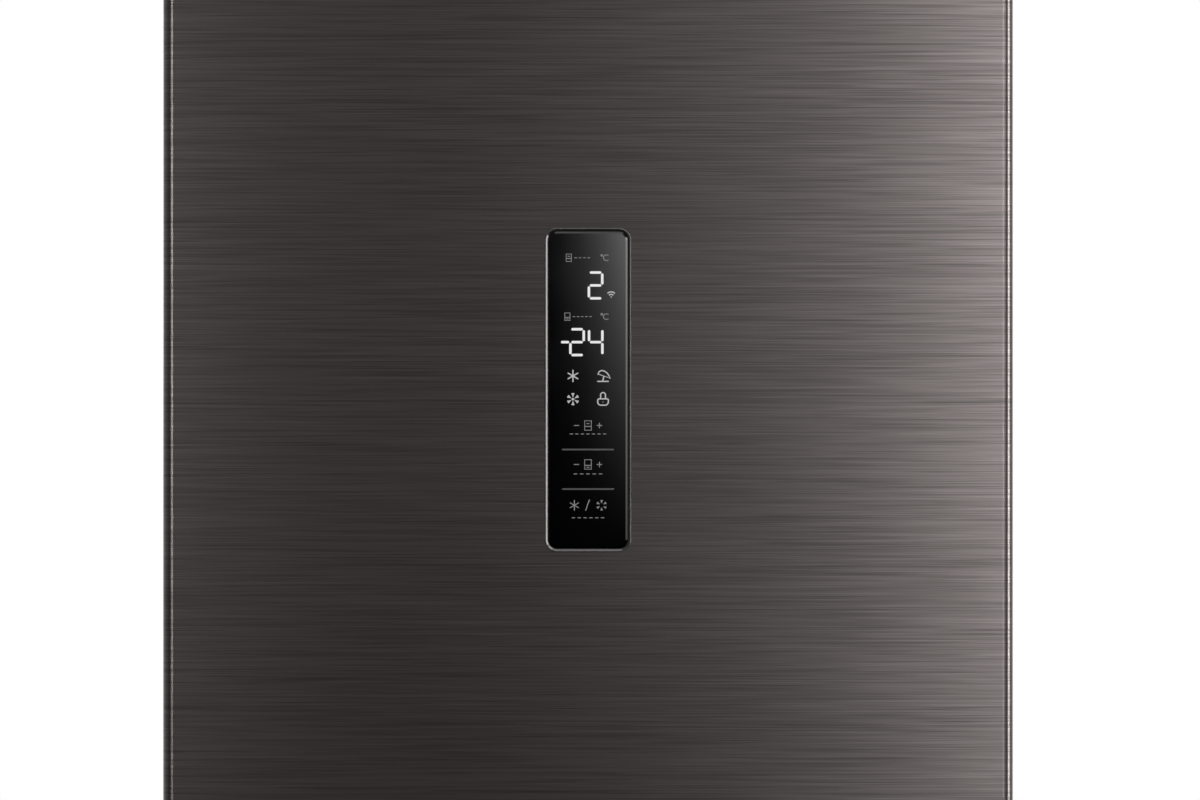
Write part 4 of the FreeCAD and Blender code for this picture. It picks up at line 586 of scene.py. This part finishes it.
def back_screws(material):
    """Screws down both edges and along the foot of the back sheet, and along the flange of the compressor tray."""
    low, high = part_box("back_panel")
    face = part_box("wall_spacers")[0].y
    margin = SCREW_MARGIN * MM
    spots = []
    for i in range(SIDE_SCREWS):
        z = low.z + margin + (high.z - low.z - 2 * margin) * i / (SIDE_SCREWS - 1)
        spots += [(low.x + margin, face, z), (high.x - margin, face, z)]
    for i in range(1, ROW_SCREWS + 1):
        spots.append((low.x + (high.x - low.x) * i / (ROW_SCREWS + 1), face, low.z + margin))
    tray_low, tray_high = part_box("compressor_tray")
    for i in range(ROW_SCREWS):
        x = tray_low.x + (tray_high.x - tray_low.x) * (i + 0.5) / ROW_SCREWS
        spots.append((x, tray_high.y, tray_high.z - TRAY_SCREW_DROP * MM))
    source = bpy.data.meshes.new("back_screws")
    source.from_pydata(spots, [], [])
    piece = grown("back_screws", source, screw_tree(), {
        "Flange Radius": FLANGE_RADIUS * MM, "Flange Height": FLANGE_HEIGHT * MM,
        "Hex Radius": HEX_RADIUS * MM, "Hex Height": HEX_HEIGHT * MM, "Material": material})
    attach(piece, "cabinet")


def line_mesh(name, lines, centre):
    """A mesh of edges along lines given as points in millimetres from a centre; a closed line ends where it
    starts."""
    mesh = bpy.data.meshes.new(name)
    points = []
    edges = []
    for line in lines:
        start = len(points)
        closed = line[0] == line[-1]
        used = line[:-1] if closed else line
        points += [(centre.x + x * MM, 0, centre.z + z * MM) for x, z in used]
        edges += [(start + i, start + i + 1) for i in range(len(used) - 1)]
        if closed:
            edges.append((start + len(used) - 1, start))
    mesh.from_pydata(points, edges, [])
    return mesh


def arc(x, z, radius, start, stop, steps):
    """Points of an arc in the plane of the glass; angles in degrees, anticlockwise from +x."""
    turns = [math.radians(start + (stop - start) * i / steps) for i in range(steps + 1)]
    points = [(x + radius * math.cos(t), z + radius * math.sin(t)) for t in turns]
    if stop - start == 360:
        points[-1] = points[0]
    return points


def level(x, z, reach):
    """A level line to both sides of a spot."""
    return [(x - reach, z), (x + reach, z)]


def segments(lit, x, z):
    """Lit bars of a seven-bar figure around its middle; letters a to f go clockwise from the top bar, and g is the
    middle one."""
    w = DIGIT_WIDTH / 2
    h = DIGIT_HEIGHT / 2
    i = SEGMENT_INSET
    bars = {
        "a": [(-w + i, h), (w - i, h)],
        "b": [(w, h - i), (w, i)],
        "c": [(w, -i), (w, i - h)],
        "d": [(-w + i, -h), (w - i, -h)],
        "e": [(-w, -i), (-w, i - h)],
        "f": [(-w, h - i), (-w, i)],
        "g": [(-w + i, 0), (w - i, 0)],
    }
    return [[(x + px, z + pz) for px, pz in bars[letter]] for letter in lit]


def figures():
    """The two temperatures: a plain 2 above and a plain -24 below."""
    lines = segments("abged", *FRIDGE_DIGIT)
    lines += segments("abged", *FREEZER_TENS) + segments("fbgc", *FREEZER_UNITS)
    return lines + [level(*MINUS, MINUS_HALF)]


def plain_flake(x, z, reach):
    """Six plain arms, as three lines through the middle."""
    turns = [FULL_TURN * i / FLAKE_ARMS + FULL_TURN / 4 for i in range(FLAKE_ARMS // 2)]
    return [[(x - reach * math.cos(t), z - reach * math.sin(t)),
             (x + reach * math.cos(t), z + reach * math.sin(t))] for t in turns]


def petal_flake(x, z, reach):
    """Six petals that widen towards their tips."""
    lines = []
    for i in range(FLAKE_ARMS):
        turn = FULL_TURN * i / FLAKE_ARMS + FULL_TURN / 4
        root = (x + PETAL_ROOT * reach * math.cos(turn), z + PETAL_ROOT * reach * math.sin(turn))
        tip = arc(x, z, PETAL_TIP * reach, math.degrees(turn - PETAL_SPREAD),
                  math.degrees(turn + PETAL_SPREAD), PETAL_STEPS)
        lines += [[root] + tip + [root], [root, tip[PETAL_STEPS // 2]]]
    return lines


def sunshade(x, z):
    """A sunshade that leans on its pole over level ground."""
    dome = [(-3.5, 1.3), (-2.8, 2.8), (-1.2, 3.8), (0.8, 3.5), (2.7, 2.2), (4.0, 0.5), (4.9, -1.5), (-3.5, 1.3)]
    pole = [(0.6, -0.2), (-0.3, -3.8)]
    ground = level(0, -3.8, 3.7)
    return [[(x + px, z + pz) for px, pz in line] for line in (dome, pole, ground)]


def padlock(x, z):
    """A closed padlock with a deep round body."""
    body = (arc(x - 1.5, z - 2.0, 2.2, 180, 270, 6) + arc(x + 1.5, z - 2.0, 2.2, 270, 360, 6)
            + arc(x + 2.7, z - 0.8, 1.0, 0, 90, 4) + arc(x - 2.7, z - 0.8, 1.0, 90, 180, 4))
    shackle = [(x + 1.7, z + 0.2)] + arc(x, z + 2.9, 1.7, 0, 180, 10) + [(x - 1.7, z + 0.2)]
    return [body + [body[0]], shackle]


def waves(x, z):
    """Two arcs over a dot, for a wireless link."""
    lines = [arc(x, z, radius, 50, 130, 8) for radius in (1.9, 3.6)]
    return lines + [[(x, z), (x, z + 0.1)]]


def degree_c(x, z):
    """The sign for degrees Celsius."""
    return [arc(x - 2.2, z + 1.7, 0.6, 0, 360, 10), arc(x + 1.0, z, 2.0, 50, 310, 14)]


def cabinet_mark(x, z, width, height, upper):
    """A small cabinet in two rooms, with a bar in the room that is meant."""
    w = width / 2
    h = height / 2
    split = SPLIT_SHARE * height
    outline = [(x - w, z - h), (x + w, z - h), (x + w, z + h), (x - w, z + h), (x - w, z - h)]
    middle = z + (split + h) / 2 if upper else z + (split - h) / 2
    return [outline, level(x, z + split, w), level(x, middle, w / 3)]


def dashes(x, z, reach, count):
    """A row of short level dashes."""
    pitch = 2 * reach / (count - 1)
    return [level(x - reach + pitch * i, z, DASH_SHARE * pitch) for i in range(count)]


def icons():
    """Bright marks of the running modes, and of the wireless link."""
    upper, lower = ICON_ROWS
    lines = plain_flake(-ICON_COLUMN, upper, ICON_FLAKE) + sunshade(ICON_COLUMN, upper)
    lines += petal_flake(-ICON_COLUMN, lower, ICON_PETALS) + padlock(ICON_COLUMN, lower)
    return lines + waves(*WAVES)


def hubs():
    """The bright middles of the two flakes."""
    return [level(-ICON_COLUMN, z, HUB_HALF) for z in ICON_ROWS]


def labels():
    """Printed marks for the two rooms and the three touch keys."""
    lines = []
    for z, x, reach, count, upper in ROOM_LABELS:
        lines += cabinet_mark(x, z, *ROOM_MARK, upper) + dashes(ROOM_DASHES, z, reach, count)
        lines += degree_c(DEGREE_COLUMN, z)
    for z, upper in ROOM_KEYS:
        lines += cabinet_mark(0, z, *KEY_MARK, upper)
        lines += [level(-KEY_SIGN, z, KEY_SIGN_HALF), level(KEY_SIGN, z, KEY_SIGN_HALF),
                  [(KEY_SIGN, z - KEY_SIGN_HALF), (KEY_SIGN, z + KEY_SIGN_HALF)]]
    lines += plain_flake(-MODE_COLUMN, MODE_ROW, MODE_FLAKE) + petal_flake(MODE_COLUMN, MODE_ROW, MODE_PETALS)
    return lines + [MODE_SLASH]


def small_labels():
    """Dashes under the three touch keys, and the keyhole of the padlock."""
    lines = []
    for z, reach, count in KEY_DASHES:
        lines += dashes(0, z, reach, count)
    return lines + [level(ICON_COLUMN, KEYHOLE_ROW, KEYHOLE_HALF)]


def dividers():
    """Level lines between the three touch keys."""
    return [level(0, z, DIVIDER_HALF) for z in DIVIDER_ROWS]


def display_gasket(tree, material):
    """A thin rubber line that closes the slit between the display frame and the door skin."""
    low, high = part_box("display_frame")
    x = (high.x - low.x) / 2 / MM - FRAME_CORNER
    z = (high.z - low.z) / 2 / MM - FRAME_CORNER
    line = []
    for i, (side, end) in enumerate(((x, z), (-x, z), (-x, -z), (x, -z))):
        line += arc(side, end, FRAME_CORNER + GASKET_OFFSET, 90 * i, 90 * (i + 1), CORNER_STEPS)
    source = line_mesh("display_gasket", [line + [line[0]]], (low + high) / 2)
    piece = grown("display_gasket", source, tree, {
        "Stroke": GASKET_WIDTH * MM, "Flatness": GASKET_THICKNESS / GASKET_WIDTH,
        "Front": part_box("fridge_door_skin")[0].y + GASKET_DEPTH * MM, "Material": material})
    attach(piece, "fridge_door")


def display_signs(tree):
    """All signs of the display, as flat strokes on the front of its glass."""
    low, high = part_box("display_glass")
    centre = (low + high) / 2
    bright = lit_sign("lit_figure", "#FFFFFF", 0.76)
    soft = lit_sign("lit_icon", "#F4F4F4", 0.46)
    dim = lit_sign("lit_label", "#DADADA", 0.24)
    faint = lit_sign("lit_divider", "#D4D4D4", 0.075)
    groups = {
        "display_figures": (figures(), DIGIT_STROKE, bright),
        "display_icons": (icons(), ICON_STROKE, soft),
        "display_icon_hubs": (hubs(), HUB_STROKE, soft),
        "display_labels": (labels(), LABEL_STROKE, dim),
        "display_small_labels": (small_labels(), LABEL_STROKE, dim),
        "display_dividers": (dividers(), DIVIDER_STROKE, faint),
    }
    for name, (lines, stroke, light) in groups.items():
        piece = grown(name, line_mesh(name, lines, centre), tree, {
            "Stroke": stroke * MM, "Flatness": SIGN_SHEET / stroke,
            "Front": low.y - (SIGN_LIFT + SIGN_SHEET / 2) * MM, "Material": light})
        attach(piece, "fridge_door")


def place_camera():
    """Level view straight at the door, as wide as the photograph's frame."""
    low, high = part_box("display_frame")
    middle = (low + high) / 2
    camera = bpy.data.objects.new("camera", bpy.data.cameras.new("camera"))
    camera.data.lens = LENS
    camera.data.sensor_width = SENSOR
    camera.data.clip_end = VIEW_REACH
    distance = VIEW_WIDTH * LENS / SENSOR
    camera.location = (middle.x + VIEW_SHIFT_X, low.y - distance, middle.z + VIEW_SHIFT_Z)
    camera.rotation_euler = (math.pi / 2, 0, 0)
    bpy.context.scene.collection.objects.link(camera)
    bpy.context.scene.camera = camera


def softbox(name, place, aim, width, height, radiance, fade=None):
    """A rectangular studio light that faces a point, hidden from the camera."""
    lamp = bpy.data.lights.new(name, "AREA")
    lamp.shape = "RECTANGLE"
    lamp.size = width
    lamp.size_y = height
    lamp.energy = radiance * width * height * math.pi
    holder = bpy.data.objects.new(name, lamp)
    holder.location = place
    holder.rotation_euler = (Vector(aim) - Vector(place)).to_track_quat("-Z", "Y").to_euler()
    holder.visible_camera = False
    bpy.context.scene.collection.objects.link(holder)
    if fade:
        lamp.use_nodes = True
        tree = lamp.node_tree
        tree.nodes.clear()
        spot = add(tree, "ShaderNodeNewGeometry").outputs["Parametric"]
        corner = add(tree, "ShaderNodeSeparateXYZ", {"Vector": spot}).outputs
        across = calc(tree, "POWER", corner["X"], fade[0])
        upward = calc(tree, "POWER", corner["Y"], fade[1])
        glow = add(tree, "ShaderNodeEmission", {"Strength": calc(tree, "MULTIPLY", across, upward)})
        add(tree, "ShaderNodeOutputLight", {"Surface": glow.outputs["Emission"]})


def seen_plainly(tree, path):
    """1 for a ray straight from the camera or through a clear piece, and 0 for any other."""
    return calc(tree, "MAXIMUM", path["Is Camera Ray"], path["Is Transmission Ray"])


def light_room():
    """A room that is white to the camera and gives a little light; in shiny surfaces it is darker on the camera's
    side."""
    world = bpy.data.worlds.new("studio")
    bpy.context.scene.world = world
    world.use_nodes = True
    tree = world.node_tree
    tree.nodes.clear()
    path = add(tree, "ShaderNodeLightPath").outputs
    way = add(tree, "ShaderNodeTexCoord").outputs["Generated"]
    slope = add(tree, "ShaderNodeVectorMath", {0: way, 1: ROOM_SLOPE}, operation="DOT_PRODUCT")
    room = calc(tree, "ADD", slope.outputs["Value"], ROOM_LEVEL, use_clamp=True)
    mirror = add(tree, "ShaderNodeMix", {"Factor": path["Is Glossy Ray"], "A": ROOM_LIGHT, "B": room})
    strength = add(tree, "ShaderNodeMix", {
        "Factor": seen_plainly(tree, path), "A": mirror.outputs["Result"], "B": 1.0})
    back = add(tree, "ShaderNodeBackground", {
        "Color": linear("#FFFFFF"), "Strength": strength.outputs["Result"]})
    add(tree, "ShaderNodeOutputWorld", {"Surface": back.outputs["Background"]})


def lay_floor():
    """A round pale studio floor that keeps the shadow and fades to the white of the room."""
    shape = bmesh.new()
    bmesh.ops.create_circle(shape, cap_ends=True, segments=FLOOR_SIDES, radius=FLOOR_REACH)
    mesh = bpy.data.meshes.new("floor")
    shape.to_mesh(mesh)
    shape.free()
    floor = bpy.data.objects.new("floor", mesh)
    made, tree, shader, place = finish("pale_floor")
    cloud = speckle(tree, place, (900, 900, 900), 2.0)
    link(tree, shader, Base_Color=blend(tree, cloud, "#EDEDEC", "#EFEFEE"))
    settle(shader, Roughness=0.8)
    away = add(tree, "ShaderNodeVectorMath", {0: place}, operation="LENGTH").outputs["Value"]
    far = add(tree, "ShaderNodeMapRange", {
        "Value": away, "From Min": FADE_START, "From Max": FLOOR_REACH}, interpolation_type="SMOOTHSTEP")
    path = add(tree, "ShaderNodeLightPath").outputs
    share = calc(tree, "MULTIPLY", far.outputs["Result"], seen_plainly(tree, path))
    white = add(tree, "ShaderNodeEmission", {"Color": linear("#FFFFFF"), "Strength": 1.0})
    mixed = add(tree, "ShaderNodeMixShader", {
        0: share, 1: shader.outputs["BSDF"], 2: white.outputs["Emission"]})
    tree.links.new(mixed.outputs["Shader"], tree.get_output_node("ALL").inputs["Surface"])
    mesh.materials.append(made)
    bpy.context.scene.collection.objects.link(floor)
    floor.visible_glossy = False


finishes = dress_nodes()
back_screws(finishes["screw_zinc"])
strokes = stroke_tree()
display_gasket(strokes, finishes["rubber_black"])
display_signs(strokes)
place_camera()
for lamp_row in LAMPS:
    softbox(**lamp_row)
light_room()
lay_floor()
bpy.context.scene.view_settings.view_transform = "Standard"
